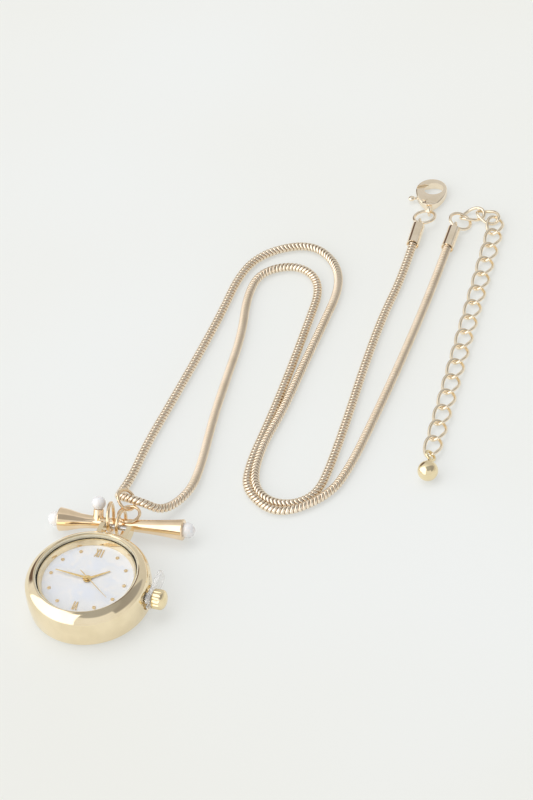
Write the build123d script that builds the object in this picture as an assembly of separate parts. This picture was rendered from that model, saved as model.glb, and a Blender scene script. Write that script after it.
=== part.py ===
"""Pendant watch on a long snake chain.

A round quartz watch lies on its back with its dial up. Two rings on its lug pin carry a bow-tie
shaped bar with three pearls, a link ring joins them to the ring that runs on the snake chain, and
the chain ends in a lobster clasp and in an extender of twisted links with a ball.

Frame: +Z up out of the dial, +Y towards 12 o'clock, +X towards the crown at 3 o'clock. The origin
is the centre of the case back's outer face, which lies on the table. Millimetres throughout.
"""
from build123d import *
from math import asin, atan2, cos, degrees, hypot, pi, radians, sin, sqrt, tan
import os

# Case, measured from the floor that it lies on
CASE_RADIUS = 14.0
CASE_WAIST_Z = 4.4
CASE_FOOT_Z = 0.4
FOOT_CORNER = 1.0
SHOULDER_RADIUS = 13.85
SHOULDER_Z = 7.1
BEZEL_SWELL = 0.32
LIP_RADIUS = 11.75
LIP_Z = 9.35
CAVITY_RADIUS = 11.6
DIAL_STEP_Z = 6.9
FLANGE_SEAT_RADIUS = 10.95
CRYSTAL_SEAT_Z = 8.3
CRYSTAL_SEAT_RADIUS = 11.5
FIT = 0.03
OVERRUN = 0.5

# Case back
BACK_RADIUS = 12.4
BACK_THICKNESS = 0.8
BACK_EDGE = 0.25
SNAP_WALL = 0.7
SNAP_TOP_Z = 2.2
GASKET_WIDTH = 0.5
GASKET_HEIGHT = 0.5

# Crystal, flange ring, dial
CRYSTAL_RADIUS = 11.2
CRYSTAL_THICKNESS = 0.95
CRYSTAL_EDGE = 0.15
FLANGE_FOOT_RADIUS = 10.15
FLANGE_TOP_RADIUS = 10.6
FLANGE_TOP_Z = 8.25
DIAL_RADIUS = 11.3
DIAL_THICKNESS = 0.4
DIAL_HOLE = 0.85
MARK_RING = 8.6
MARK_HEIGHT = 0.15
DOT_RADIUS = 0.42
NUMERAL_HEIGHT = 2.3
NUMERAL_STROKE = 0.26
NUMERAL_GAP = 0.62
NUMERAL_RING = 7.9

# Movement
PLATE_RADIUS = 9.6
PLATE_LOW_Z = 4.3
PLATE_HIGH_Z = 5.25
PLATE_RIM_WIDTH = 1.0
HOLDER_LOW_Z = 2.3
MOVEMENT_TOP_Z = 6.45
BRIDGE_LOW_Z = 3.0
BRIDGE_THICKNESS = 0.25
BRIDGE_RADIUS = 5.1
SCREW_RADIUS = 0.28
SCREW_HEAD_RADIUS = 0.55
SCREW_HEAD_HEIGHT = 0.25
SCREW_LENGTH = 1.7
SCREW_PLACES = ((3.9, 2.2), (3.4, -2.3), (-3.3, -2.9))
PIVOT_RADIUS = 0.08
PIVOT_LENGTH = 0.15
PIVOT_PLAY = 0.02
ARBOR_RADIUS = 0.15
RUNNING_GAP = 0.05
BATTERY_RADIUS = 3.4
BATTERY_HEIGHT = 2.15
BATTERY_LOW_Z = 3.05
BATTERY_Y = -5.95
BATTERY_CAP_STEP = 0.35
STRAP_WIDTH = 2.4
STRAP_THICKNESS = 0.15
STRAP_POST_X = 4.6
STRAP_HALF_LENGTH = 5.3
COIL_RADIUS = 0.75
COIL_LENGTH = 6.4
COIL_Y = 7.2
COIL_Z = 3.81
CORE_WIDTH = 1.0
CORE_THICKNESS = 0.3
CORE_LENGTH = 8.6
STATOR_THICKNESS = 0.28
STATOR_DEPTH = 2.0
STATOR_ARM = 1.1
ROTOR_HOLE = 0.75
MAGNET_RADIUS = 0.6
BOARD_THICKNESS = 0.3
BOARD_LOW_Z = 3.45
BOARD_EDGE_X = -5.1
BOARD_LOW_Y = -3.2
BOARD_HIGH_Y = 6.2
RESONATOR_RADIUS = 0.6
RESONATOR_LENGTH = 3.6

# Wheel train: teeth, and modules as lengths per tooth
SECONDS_TEETH = 36
INTERMEDIATE_TEETH = 30
THIRD_TEETH = 45
CENTRE_TEETH = 48
TRAIN_PINION_TEETH = 6
CANNON_TEETH = 8
MINUTE_TEETH = 24
MINUTE_PINION_TEETH = 6
HOUR_TEETH = 24
SLIDING_TEETH = 12
SECONDS_MODULE = 0.125
THIRD_MODULE = 0.098
MOTION_MODULE = 0.135
WHEEL_THICKNESS = 0.12
SECONDS_Z = 3.42
SECOND_LEVEL_Z = 3.66
CENTRE_Z = 3.94
MINUTE_Z = 5.35
HOUR_Z = 5.64
PINION_EXTRA = 0.05
INTERMEDIATE_ANGLE = 60
THIRD_ANGLE = 180
ROTOR_ANGLE = 120
ADDENDUM_SHARE = 0.85
DEDENDUM_SHARE = 1.15
ROOT_HALF_SHARE = 0.27
TIP_HALF_SHARE = 0.10

# Tubes on the centre arbor, from the inside out
SECONDS_ARBOR = 0.14
CANNON_BORE = 0.20
CANNON_TUBE = 0.36
HOUR_BORE = 0.42
HOUR_TUBE = 0.66
CENTRE_TUBE = 0.30

# Hands
HOUR_HAND_Z = 7.15
MINUTE_HAND_Z = 7.42
SECOND_HAND_Z = 7.70
HAND_THICKNESS = 0.12
HAND_HUB = 0.95
HOUR_HAND_LENGTH = 5.3
MINUTE_HAND_LENGTH = 7.8
SECOND_HAND_LENGTH = 7.8
SECOND_TAIL_LENGTH = 2.6
HAND_TAIL = 0.3
HOUR_HAND_WIDTH = 0.62
MINUTE_HAND_WIDTH = 0.56
SECOND_HAND_WIDTH = 0.2
HAND_TIP_SHARE = 0.35
HOUR_ANGLE = 53
MINUTE_ANGLE = 276
SECOND_ANGLE = 127

# Crown, pulled out into the setting place
CROWN_Z = 4.6
CROWN_RADIUS = 2.35
CROWN_INNER_X = 15.2
CROWN_LENGTH = 2.5
CROWN_DOME = 0.7
CROWN_FLUTES = 20
FLUTE_RADIUS = 0.22
CROWN_BORE = 1.25
CROWN_BORE_DEPTH = 1.5
RECESS_RADIUS = 2.75
RECESS_X = 12.9
TUBE_RADIUS = 1.0
TUBE_BORE = 0.62
TUBE_INNER_X = 11.0
TUBE_OUTER_X = 13.5
STEM_RADIUS = 0.5
STEM_INNER_X = 4.05
SLIDING_RADIUS = 0.95
SLIDING_CORE = 0.62
SLIDING_LENGTH = 0.45
FACE_TOOTH = 0.3

# Clear stop tab between crown and case
TAB_INNER_X = 14.08
TAB_THICKNESS = 1.0
TAB_HEIGHT = 3.4
TAB_LOW_Y = -2.3
TAB_HIGH_Y = 7.3
TAB_SLOT = 1.2
TAB_CORNER = 1.0

# Lugs and their pin
LUG_GAP = 5.2
LUG_WIDTH = 1.1
LUG_REACH_Y = 18.9
LUG_ROOT_Y = 12.6
LUG_LOW_Z = 3.4
LUG_THICKNESS = 2.5
PIN_Y = 18.0
PIN_Z = 4.9
PIN_RADIUS = 0.55
PIN_END_RADIUS = 0.35
PIN_END = 0.6

# Bar with pearls
BAR_CENTRE = (-1.2, 20.2, 3.4)
BAR_TURN = 6.2
BAR_HALF = 15.2
BAR_WAIST = 1.32
BAR_END = 2.4
BAR_RIM = 0.25
CUP_DEPTH = 0.9
CUP_SPREAD = 0.5
END_PEARL = 1.75
PEARL_GAP = 0.02
BOSS_PLACE = -4.1
BOSS_LEAN = 33
BOSS_ROOT = 1.28
BOSS_TOP = 1.15
BOSS_HEIGHT = 3.1
BOSS_PEARL = 1.6
PEG_RADIUS = 0.35
PEG_LENGTH = 1.1

# Rings between the watch and the chain: centre, direction of the axis, centre-line radius
RING_WIRE = 0.40
LINK_WIRE = 0.35
LEFT_RING_CENTRE = (-2.3, 20.3, 4.98)
LEFT_RING_TURN = 12
LEFT_RING_RADIUS = 3.4
RIGHT_RING_CENTRE = (0.3, 19.75, 4.35)
RIGHT_RING_TURN = 0
RIGHT_RING_RADIUS = 2.9
LINK_RING_CENTRE = (1.48, 22.1, 5.24)
LINK_RING_AXIS = (0, 0, 1)
LINK_RING_RADIUS = 2.4
CHAIN_RING_CENTRE = (-0.26, 25.54, 5.99)
CHAIN_RING_AXIS = (0.746, 0.012, 0.665)
CHAIN_RING_RADIUS = 2.4

# Snake chain: points of its route, from the clasp's end cap to the extender's end cap
CHAIN_DIAMETER = 2.2
CHAIN_Z = 1.1
CAP_Z = 1.65
CHAIN_ROUTE = (
    (36.7, 127, CAP_Z), (37.4, 115, CHAIN_Z), (36.8, 99.5, CHAIN_Z), (37.6, 81.9, CHAIN_Z), (38.8, 65.8, CHAIN_Z),
    (39.6, 50, CHAIN_Z), (39.3, 41.2, CHAIN_Z), (34.9, 36.6, CHAIN_Z), (28.5, 36.6, CHAIN_Z), (23.7, 41.5, CHAIN_Z),
    (22.2, 52.5, CHAIN_Z), (23.4, 65, CHAIN_Z), (23.5, 80, CHAIN_Z), (23.8, 95, CHAIN_Z), (23.9, 107.9, CHAIN_Z),
    (20, 116.4, CHAIN_Z), (12.3, 121.1, CHAIN_Z), (3.1, 116.8, CHAIN_Z), (-1.4, 108.7, CHAIN_Z), (-1.3, 92.2, CHAIN_Z),
    (-2.1, 76, CHAIN_Z), (-3.1, 60, CHAIN_Z), (-4, 47.5, CHAIN_Z), (-3.8, 36.7, CHAIN_Z), (-4.6, 30.6, 1.3),
    (-2.46, 26.87, 5.33), (3.23, 25.56, 6.12), (7.64, 26.97, 2.5), (11, 34.3, 1.7), (10.8, 42.8, CHAIN_Z),
    (8.4, 58.6, CHAIN_Z), (7.2, 71.6, CHAIN_Z), (6, 86.7, CHAIN_Z), (2.8, 100.3, CHAIN_Z), (3.4, 109.2, CHAIN_Z),
    (11.8, 113.5, CHAIN_Z), (19.3, 108, CHAIN_Z), (20.2, 92.9, CHAIN_Z), (21, 77, CHAIN_Z), (21.4, 60.8, CHAIN_Z),
    (21.3, 46.6, CHAIN_Z), (23.1, 38.3, CHAIN_Z), (32.7, 32.7, CHAIN_Z), (42, 41.1, CHAIN_Z), (44.1, 50.7, CHAIN_Z),
    (44.9, 68.2, CHAIN_Z), (45.4, 84, CHAIN_Z), (45.6, 100, CHAIN_Z), (45.5, 115.6, CHAIN_Z), (45.3, 127.6, CAP_Z),
)
ARC_SHARE = 0.45

# End caps
CAP_RADIUS = 1.55
CAP_WALL = 0.25
CAP_LENGTH = 6.6
CAP_GRIP = 1.5
CAP_DOME = 0.4
CAP_LOOP_RADIUS = 0.95
CAP_LOOP_WIRE = 0.28

# Clasp, in its own frame: tail ring at the origin, nose along +Y
CLASP_TAIL = (37.25, 138.25)
CLASP_TURN = 12
CLASP_Z = 1.5
CLASP_THICKNESS = 2.6
CLASP_NOSE = 11.4
CLASP_WIDTH = 7.6
CLASP_WIDEST = 7.2
CLASP_NECK = 0.75
CLASP_NECK_Y = 1.3
CLASP_FLANK = (2.7, 3.6)
TAIL_RING = 1.0
TAIL_WIRE = 0.36
SLOT_HEIGHT = 1.1
LEVER_PLAY = 0.06
OPENING_CENTRE = (0.55, 7.6)
OPENING_HALF_X = 2.05
OPENING_HALF_Y = 1.75
RIVET_PLACE = (-1.3, 3.9)
RIVET_RADIUS = 0.4
RIVET_HEAD = 0.65
RIVET_HEAD_HEIGHT = 0.12
LEVER_FOOT_Y = 2.7
LEVER_RIGHT_X = 0.2
LEVER_REACH = 5.2
LEVER_SWING = 18
KNOB_PLACE = (-4.7, 5.0)
KNOB_RADIUS = 0.8
STALK_RADIUS = 0.4
SPRING_WIRE = 0.11
SPRING_RADIUS = 0.6
SPRING_TURNS = 2
SPRING_PITCH = 0.24
SPRING_WELL = 0.8

# Jump rings, wire radius and centre-line radius
JUMP_WIRE = 0.38
JUMP_RADIUS = 2.6
CLASP_JUMP_CENTRE = (36.83, 135.68, 1.7)
CLASP_JUMP_AXIS = (-0.12, 0.12, 1)
EXTENDER_JUMP_CENTRE = (45.72, 136.24, 1.46)
EXTENDER_JUMP_AXIS = (0.43, 0.065, 1)

# Extender: joints of its links from the jump ring on, then a straight run of equal links
LINK_HALF_LENGTH = 2.95
EXTENDER_WIRE = 0.38
EXTENDER_HALF_WIDTH = 1.9
EXTENDER_TWIST = 0.55
LINK_SLACK = 0.08
EXTENDER_Z = 1.0
FIRST_JOINTS = ((46.0, 138.3), (49.61, 140.72), (53.68, 139.17))
STRAIGHT_START = (54.75, 134.95)
STRAIGHT_END = (60.75, 58.95)
STRAIGHT_LINKS = 15
LINKS_PER_GROUP = 2
BALL_RADIUS = 2.35
BALL_CENTRE = (62.0, 52.6)
EYE_RADIUS = 1.2
EYE_WIRE = 0.36
EYE_Z = 1.3
EYE_TILT = 45
NECK_RADIUS = 0.5

FOOT = (Align.CENTER, Align.CENTER, Align.MIN)


def disc(radius, low, high, at=(0, 0)):
    """A cylinder from one height to another."""
    return Pos(at[0], at[1], low) * Cylinder(radius, high - low, align=FOOT)


def band(outer, inner, low, high, at=(0, 0)):
    """A flat ring or a tube from one height to another."""
    return disc(outer, low, high, at) - disc(inner, low - OVERRUN, high + OVERRUN, at)


def rod_x(radius, start, end, y=0, z=0):
    """A round rod along X."""
    return Pos(start, y, z) * Rot(0, 90, 0) * Cylinder(radius, end - start, align=FOOT)


def turned(*edges):
    """A solid of revolution about Z from edges drawn as (radius, height)."""
    return revolve(Plane.XZ * make_face(Curve() + list(edges)), Axis.Z)


def block(low, high):
    """A box between two corners."""
    size = [b - a for a, b in zip(low, high)]
    middle = [(a + b) / 2 for a, b in zip(low, high)]
    return Pos(*middle) * Box(*size)


def wire_ring(centre, axis, radius, wire):
    """A closed ring of round wire."""
    return Plane(origin=centre, z_dir=axis) * Torus(radius, wire)


def turned_axis(angle):
    """The horizontal direction at an angle from +X."""
    return (cos(radians(angle)), sin(radians(angle)), 0)


def polar(distance, angle, start=(0, 0)):
    """A point at a distance and an angle from another."""
    return (start[0] + distance * cos(radians(angle)), start[1] + distance * sin(radians(angle)))


def toothed(teeth, module, low, high, centre=(0, 0), phase=0):
    """A toothed wheel with its first tooth at the angle phase."""
    root = module * (teeth / 2 - DEDENDUM_SHARE)
    tip = module * (teeth / 2 + ADDENDUM_SHARE)
    corners = ((root, -ROOT_HALF_SHARE), (tip, -TIP_HALF_SHARE), (tip, TIP_HALF_SHARE), (root, ROOT_HALF_SHARE))
    outline = [
        polar(radius, phase + 360 * (tooth + shift) / teeth) for tooth in range(teeth) for radius, shift in corners
    ]
    return Pos(centre[0], centre[1], low) * extrude(make_face(Polyline(*outline, close=True)), high - low)


def meshed(angle, teeth):
    """The phase that puts a gap at the angle, where another wheel has a tooth."""
    return angle + 180 / teeth


def pivoted(solid, centre, low, high):
    """A wheel with an arbor between two heights and a thin pivot at each end."""
    arbor = disc(ARBOR_RADIUS, low, high, centre)
    pivots = disc(PIVOT_RADIUS, low - PIVOT_LENGTH, high + PIVOT_LENGTH, centre)
    return solid + arbor + pivots


# Places of the train's arbors
intermediate_distance = SECONDS_MODULE * (SECONDS_TEETH + TRAIN_PINION_TEETH) / 2
rotor_distance = SECONDS_MODULE * (INTERMEDIATE_TEETH + TRAIN_PINION_TEETH) / 2
third_distance = THIRD_MODULE * (THIRD_TEETH + TRAIN_PINION_TEETH) / 2
centre_module = 2 * third_distance / (CENTRE_TEETH + TRAIN_PINION_TEETH)
minute_distance = MOTION_MODULE * (CANNON_TEETH + MINUTE_TEETH) / 2
hour_module = 2 * minute_distance / (HOUR_TEETH + MINUTE_PINION_TEETH)
intermediate_at = polar(intermediate_distance, INTERMEDIATE_ANGLE)
rotor_at = polar(rotor_distance, ROTOR_ANGLE, intermediate_at)
third_at = polar(third_distance, THIRD_ANGLE)
minute_at = (minute_distance, 0)
bridge_high = BRIDGE_LOW_Z + BRIDGE_THICKNESS
arbor_low = bridge_high + RUNNING_GAP
dial_low = DIAL_STEP_Z - DIAL_THICKNESS
dial_top = DIAL_STEP_Z
crystal_top = CRYSTAL_SEAT_Z + CRYSTAL_THICKNESS


def make_case():
    """One-piece case: sloped convex bezel, barrel side, crown recess, and lugs at 12 o'clock."""
    foot = (CASE_RADIUS - FOOT_CORNER, CASE_FOOT_Z)
    foot_side = (CASE_RADIUS - FOOT_CORNER / 4, CASE_FOOT_Z + FOOT_CORNER)
    shoulder = (SHOULDER_RADIUS, SHOULDER_Z)
    lip = (LIP_RADIUS, LIP_Z)
    slope_middle = ((SHOULDER_RADIUS + LIP_RADIUS) / 2, (SHOULDER_Z + LIP_Z) / 2)
    slope = (slope_middle[0] + BEZEL_SWELL * sin(pi / 4), slope_middle[1] + BEZEL_SWELL * cos(pi / 4))
    corner = (CASE_RADIUS - FOOT_CORNER / 2, CASE_FOOT_Z + FOOT_CORNER / 4)
    inner_lip = (CRYSTAL_SEAT_RADIUS, crystal_top)
    body = turned(
        Line((0, CASE_FOOT_Z), foot),
        ThreePointArc(foot, corner, foot_side),
        ThreePointArc(foot_side, (CASE_RADIUS, CASE_WAIST_Z), shoulder),
        ThreePointArc(shoulder, slope, lip),
        Line(lip, inner_lip),
        Line(inner_lip, (0, crystal_top)),
        Line((0, crystal_top), (0, CASE_FOOT_Z)),
    )
    body += make_lugs()
    for cut in (
        disc(CRYSTAL_SEAT_RADIUS, CRYSTAL_SEAT_Z, crystal_top + OVERRUN),
        disc(FLANGE_SEAT_RADIUS, DIAL_STEP_Z - OVERRUN, CRYSTAL_SEAT_Z + OVERRUN),
        disc(CAVITY_RADIUS, CASE_FOOT_Z - OVERRUN, DIAL_STEP_Z),
        disc(BACK_RADIUS + FIT, CASE_FOOT_Z - OVERRUN, BACK_THICKNESS),
        disc(CAVITY_RADIUS + GASKET_WIDTH, BACK_THICKNESS - FIT, BACK_THICKNESS + GASKET_HEIGHT),
        rod_x(RECESS_RADIUS, RECESS_X, CASE_RADIUS + OVERRUN, z=CROWN_Z),
        rod_x(TUBE_RADIUS + FIT, TUBE_INNER_X, CASE_RADIUS, z=CROWN_Z),
    ):
        body -= cut
    return body


def make_lugs():
    """Two lugs with rounded ends and a blind hole each for the ends of the pin."""
    middle = LUG_LOW_Z + LUG_THICKNESS / 2
    nose = LUG_THICKNESS / 2
    side = make_face(
        Curve() + [
            Line((LUG_ROOT_Y, LUG_LOW_Z), (LUG_REACH_Y - nose, LUG_LOW_Z)),
            ThreePointArc(
                (LUG_REACH_Y - nose, LUG_LOW_Z), (LUG_REACH_Y, middle), (LUG_REACH_Y - nose, LUG_LOW_Z + LUG_THICKNESS)
            ),
            Line((LUG_REACH_Y - nose, LUG_LOW_Z + LUG_THICKNESS), (LUG_ROOT_Y, LUG_LOW_Z + LUG_THICKNESS)),
            Line((LUG_ROOT_Y, LUG_LOW_Z + LUG_THICKNESS), (LUG_ROOT_Y, LUG_LOW_Z)),
        ]
    )
    lugs = Part()
    for start in (LUG_GAP / 2, -LUG_GAP / 2 - LUG_WIDTH):
        lugs += Pos(start, 0, 0) * extrude(Plane.YZ * side, LUG_WIDTH)
    return lugs - rod_x(PIN_END_RADIUS + FIT, -LUG_GAP / 2 - PIN_END, LUG_GAP / 2 + PIN_END, PIN_Y, PIN_Z)


def make_lug_pin():
    """Spring bar between the lugs, with a thinner end in each."""
    return rod_x(PIN_RADIUS, FIT - LUG_GAP / 2, LUG_GAP / 2 - FIT, PIN_Y, PIN_Z) + rod_x(
        PIN_END_RADIUS, FIT - LUG_GAP / 2 - PIN_END, LUG_GAP / 2 + PIN_END - FIT, PIN_Y, PIN_Z
    )


def make_case_back():
    """Snap-on back: a disc with a bevelled edge and a ring that grips the case's bore."""
    plate = turned(
        Line((0, 0), (BACK_RADIUS - BACK_EDGE, 0)),
        Line((BACK_RADIUS - BACK_EDGE, 0), (BACK_RADIUS, BACK_EDGE)),
        Line((BACK_RADIUS, BACK_EDGE), (BACK_RADIUS, BACK_THICKNESS)),
        Line((BACK_RADIUS, BACK_THICKNESS), (0, BACK_THICKNESS)),
        Line((0, BACK_THICKNESS), (0, 0)),
    )
    outer = CAVITY_RADIUS - FIT
    return plate + band(outer, outer - SNAP_WALL, BACK_THICKNESS / 2, SNAP_TOP_Z)


def make_back_gasket():
    """Square seal between the back and the case's step."""
    return band(
        CAVITY_RADIUS + GASKET_WIDTH - FIT, CAVITY_RADIUS + FIT, BACK_THICKNESS, BACK_THICKNESS + GASKET_HEIGHT - FIT
    )


def make_crystal():
    """Flat mineral glass with a bevelled edge."""
    glass = disc(CRYSTAL_RADIUS, CRYSTAL_SEAT_Z, crystal_top)
    return chamfer(glass.edges().group_by(Axis.Z)[-1], CRYSTAL_EDGE)


def make_crystal_gasket():
    """Ring seal round the crystal."""
    return band(CRYSTAL_SEAT_RADIUS - FIT, CRYSTAL_RADIUS + FIT, CRYSTAL_SEAT_Z, crystal_top - CRYSTAL_EDGE)


def make_flange_ring():
    """Polished inner ring that widens from the dial to the crystal."""
    outer = FLANGE_SEAT_RADIUS - FIT
    return turned(
        Line((FLANGE_FOOT_RADIUS, dial_top + FIT), (outer, dial_top + FIT)),
        Line((outer, dial_top + FIT), (outer, FLANGE_TOP_Z)),
        Line((outer, FLANGE_TOP_Z), (FLANGE_TOP_RADIUS, FLANGE_TOP_Z)),
        Line((FLANGE_TOP_RADIUS, FLANGE_TOP_Z), (FLANGE_FOOT_RADIUS, dial_top + FIT)),
    )


def make_dial():
    """Shell dial with a hole for the hands."""
    return band(DIAL_RADIUS, DIAL_HOLE, dial_low, dial_top)


def stroke(start, end):
    """A straight bar of a numeral, flat on the dial."""
    length = hypot(end[0] - start[0], end[1] - start[1])
    angle = degrees(atan2(end[1] - start[1], end[0] - start[0]))
    middle = ((start[0] + end[0]) / 2, (start[1] + end[1]) / 2, dial_top + MARK_HEIGHT / 2)
    return Pos(*middle) * Rot(0, 0, angle) * Box(length, NUMERAL_STROKE, MARK_HEIGHT)


def make_numeral(letters):
    """A Roman numeral round the origin from its straight strokes."""
    top = NUMERAL_HEIGHT / 2
    reach = NUMERAL_GAP / 2
    place = -NUMERAL_GAP * (len(letters) - 1) / 2
    solid = Part()
    for letter in letters:
        ends = {
            "I": [((place, -top), (place, top))],
            "V": [((place - reach, top), (place, -top)), ((place + reach, top), (place, -top))],
            "X": [((place - reach, top), (place + reach, -top)), ((place + reach, top), (place - reach, -top))],
        }
        for start, end in ends[letter]:
            solid += stroke(start, end)
        place += NUMERAL_GAP
    return solid


def make_hour_marks():
    """Applied marks: XII, VI and a round dot at every other hour."""
    marks = Pos(0, NUMERAL_RING, 0) * make_numeral("XII")
    marks += Pos(0, -NUMERAL_RING, 0) * Rot(0, 0, 180) * make_numeral("VI")
    for hour in range(12):
        if hour % 6:
            marks += disc(DOT_RADIUS, dial_top, dial_top + MARK_HEIGHT, polar(MARK_RING, 90 - 30 * hour))
    return marks


def make_movement_holder():
    """Plastic ring that centres the movement in the case."""
    ring = band(CAVITY_RADIUS - 2 * FIT, PLATE_RADIUS + FIT, HOLDER_LOW_Z, MOVEMENT_TOP_Z)
    return ring - rod_x(TUBE_BORE, 0, CASE_RADIUS, z=CROWN_Z) - rod_x(TUBE_RADIUS + FIT, TUBE_INNER_X - FIT, CASE_RADIUS, z=CROWN_Z)


def screw_seats():
    """Place of every movement screw and the height that its head bears on."""
    bridge = [(place, BRIDGE_LOW_Z) for place in SCREW_PLACES]
    strap = [((side, BATTERY_Y), BATTERY_LOW_Z - STRAP_THICKNESS) for side in (-STRAP_POST_X, STRAP_POST_X)]
    return bridge + strap


def make_main_plate():
    """Base plate with a rim for the dial, pockets for battery, coil and rotor, and pivot holes."""
    plate = disc(PLATE_RADIUS, PLATE_LOW_Z, PLATE_HIGH_Z)
    plate += band(PLATE_RADIUS, PLATE_RADIUS - PLATE_RIM_WIDTH, PLATE_LOW_Z, MOVEMENT_TOP_Z)
    coil_room = COIL_RADIUS + 2 * RUNNING_GAP
    core_end = CORE_LENGTH / 2 + RUNNING_GAP
    for cut in (
        disc(BATTERY_RADIUS + RUNNING_GAP, PLATE_LOW_Z - OVERRUN, MOVEMENT_TOP_Z + OVERRUN, (0, BATTERY_Y)),
        block((-core_end, COIL_Y - coil_room, PLATE_LOW_Z - OVERRUN), (core_end, COIL_Y + coil_room, COIL_Z + coil_room)),
        disc(ROTOR_HOLE, PLATE_LOW_Z - OVERRUN, PLATE_LOW_Z + STATOR_THICKNESS, rotor_at),
        disc(CENTRE_TUBE + RUNNING_GAP, PLATE_LOW_Z - OVERRUN, PLATE_HIGH_Z + OVERRUN),
        block((STEM_INNER_X - 2 * FACE_TOOTH, -SLIDING_RADIUS - RUNNING_GAP, PLATE_LOW_Z - OVERRUN),
              (STEM_INNER_X + SLIDING_LENGTH + FACE_TOOTH, SLIDING_RADIUS + RUNNING_GAP, PLATE_HIGH_Z + OVERRUN)),
        rod_x(STEM_RADIUS + RUNNING_GAP, STEM_INNER_X, PLATE_RADIUS + OVERRUN, z=CROWN_Z),
        block((STEM_INNER_X, -STEM_RADIUS - RUNNING_GAP, PLATE_LOW_Z - OVERRUN),
              (PLATE_RADIUS + OVERRUN, STEM_RADIUS + RUNNING_GAP, CROWN_Z)),
    ):
        plate -= cut
    for place in (intermediate_at, third_at, rotor_at, minute_at):
        plate -= disc(PIVOT_RADIUS + PIVOT_PLAY, PLATE_LOW_Z - OVERRUN, PLATE_HIGH_Z + OVERRUN, place)
    for place, seat in screw_seats():
        foot = bridge_high if seat == BRIDGE_LOW_Z else BATTERY_LOW_Z
        plate += disc(SCREW_HEAD_RADIUS, foot, PLATE_LOW_Z + FIT, place)
        plate -= disc(SCREW_RADIUS + FIT, foot - OVERRUN, seat + SCREW_LENGTH + FIT, place)
    return plate


def make_train_bridge():
    """Thin bridge under the wheels, with their pivot holes and two screw holes."""
    bridge = disc(BRIDGE_RADIUS, BRIDGE_LOW_Z, bridge_high) - disc(
        BATTERY_RADIUS + 3 * RUNNING_GAP, BRIDGE_LOW_Z - OVERRUN, bridge_high + OVERRUN, (0, BATTERY_Y)
    )
    for place in ((0, 0), intermediate_at, third_at, rotor_at):
        bridge -= disc(PIVOT_RADIUS + PIVOT_PLAY, BRIDGE_LOW_Z - OVERRUN, bridge_high + OVERRUN, place)
    for place in SCREW_PLACES:
        bridge -= disc(SCREW_RADIUS + FIT, BRIDGE_LOW_Z - OVERRUN, bridge_high + OVERRUN, place)
    return bridge


def make_movement_screws():
    """Slotted screws that hold bridge and strap to the plate's posts."""
    screws = Part()
    slot_depth = SCREW_HEAD_HEIGHT / 2
    for place, seat in screw_seats():
        low = seat - SCREW_HEAD_HEIGHT
        screw = disc(SCREW_HEAD_RADIUS, low, seat, place) + disc(SCREW_RADIUS, low, seat + SCREW_LENGTH, place)
        slot = block(
            (place[0] - SCREW_HEAD_RADIUS, place[1] - SCREW_RADIUS / 4, low - OVERRUN),
            (place[0] + SCREW_HEAD_RADIUS, place[1] + SCREW_RADIUS / 4, low + slot_depth),
        )
        screws += screw - slot
    return screws


def make_coil():
    """Winding on a flat core whose ends stand out to reach the stator."""
    winding = rod_x(COIL_RADIUS, -COIL_LENGTH / 2, COIL_LENGTH / 2, COIL_Y, COIL_Z)
    core = block(
        (-CORE_LENGTH / 2, COIL_Y - CORE_WIDTH / 2, COIL_Z - CORE_THICKNESS / 2),
        (CORE_LENGTH / 2, COIL_Y + CORE_WIDTH / 2, COIL_Z + CORE_THICKNESS / 2),
    )
    return winding + core


def make_stator():
    """Soft iron plate round the rotor, with an arm to each end of the coil's core."""
    low = COIL_Z + CORE_THICKNESS / 2
    high = low + STATOR_THICKNESS
    end = CORE_LENGTH / 2
    body_low = rotor_at[1] - STATOR_DEPTH / 2
    plate = block((-end, body_low, low), (end, body_low + STATOR_DEPTH, high))
    for side in (-end, end - STATOR_ARM):
        plate += block((side, body_low, low), (side + STATOR_ARM, COIL_Y + CORE_WIDTH / 2, high))
    return plate - disc(ROTOR_HOLE, low - OVERRUN, high + OVERRUN, rotor_at)


def make_circuit_board():
    """Circuit board beside the train, with the quartz resonator's can soldered on it."""
    high = BOARD_LOW_Z + BOARD_THICKNESS
    board = disc(PLATE_RADIUS - PLATE_RIM_WIDTH, BOARD_LOW_Z, high) & block(
        (-PLATE_RADIUS, BOARD_LOW_Y, BOARD_LOW_Z), (BOARD_EDGE_X, BOARD_HIGH_Y, high)
    )
    board -= disc(BATTERY_RADIUS + 3 * RUNNING_GAP, BOARD_LOW_Z - OVERRUN, high + OVERRUN, (0, BATTERY_Y))
    low = BOARD_LOW_Z + FIT - RESONATOR_RADIUS
    place = (BOARD_EDGE_X - 2 * RESONATOR_RADIUS, -RESONATOR_LENGTH / 4, low)
    can = Pos(*place) * Rot(-90, 0, 0) * Cylinder(RESONATOR_RADIUS, RESONATOR_LENGTH, align=FOOT)
    return board + can


def make_battery():
    """Button cell: wide can below, narrower cap above."""
    step = BATTERY_LOW_Z + BATTERY_HEIGHT - BATTERY_CAP_STEP
    can = disc(BATTERY_RADIUS, BATTERY_LOW_Z, step, (0, BATTERY_Y))
    return can + disc(BATTERY_RADIUS - BATTERY_CAP_STEP, BATTERY_LOW_Z, BATTERY_LOW_Z + BATTERY_HEIGHT, (0, BATTERY_Y))


def make_battery_strap():
    """Flat spring strap across the cell, screwed to a post at each end."""
    low = BATTERY_LOW_Z - STRAP_THICKNESS
    strap = block(
        (-STRAP_HALF_LENGTH, BATTERY_Y - STRAP_WIDTH / 2, low),
        (STRAP_HALF_LENGTH, BATTERY_Y + STRAP_WIDTH / 2, BATTERY_LOW_Z),
    )
    for side in (-STRAP_POST_X, STRAP_POST_X):
        strap -= disc(SCREW_RADIUS + FIT, low - OVERRUN, BATTERY_LOW_Z + OVERRUN, (side, BATTERY_Y))
    return strap


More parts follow.
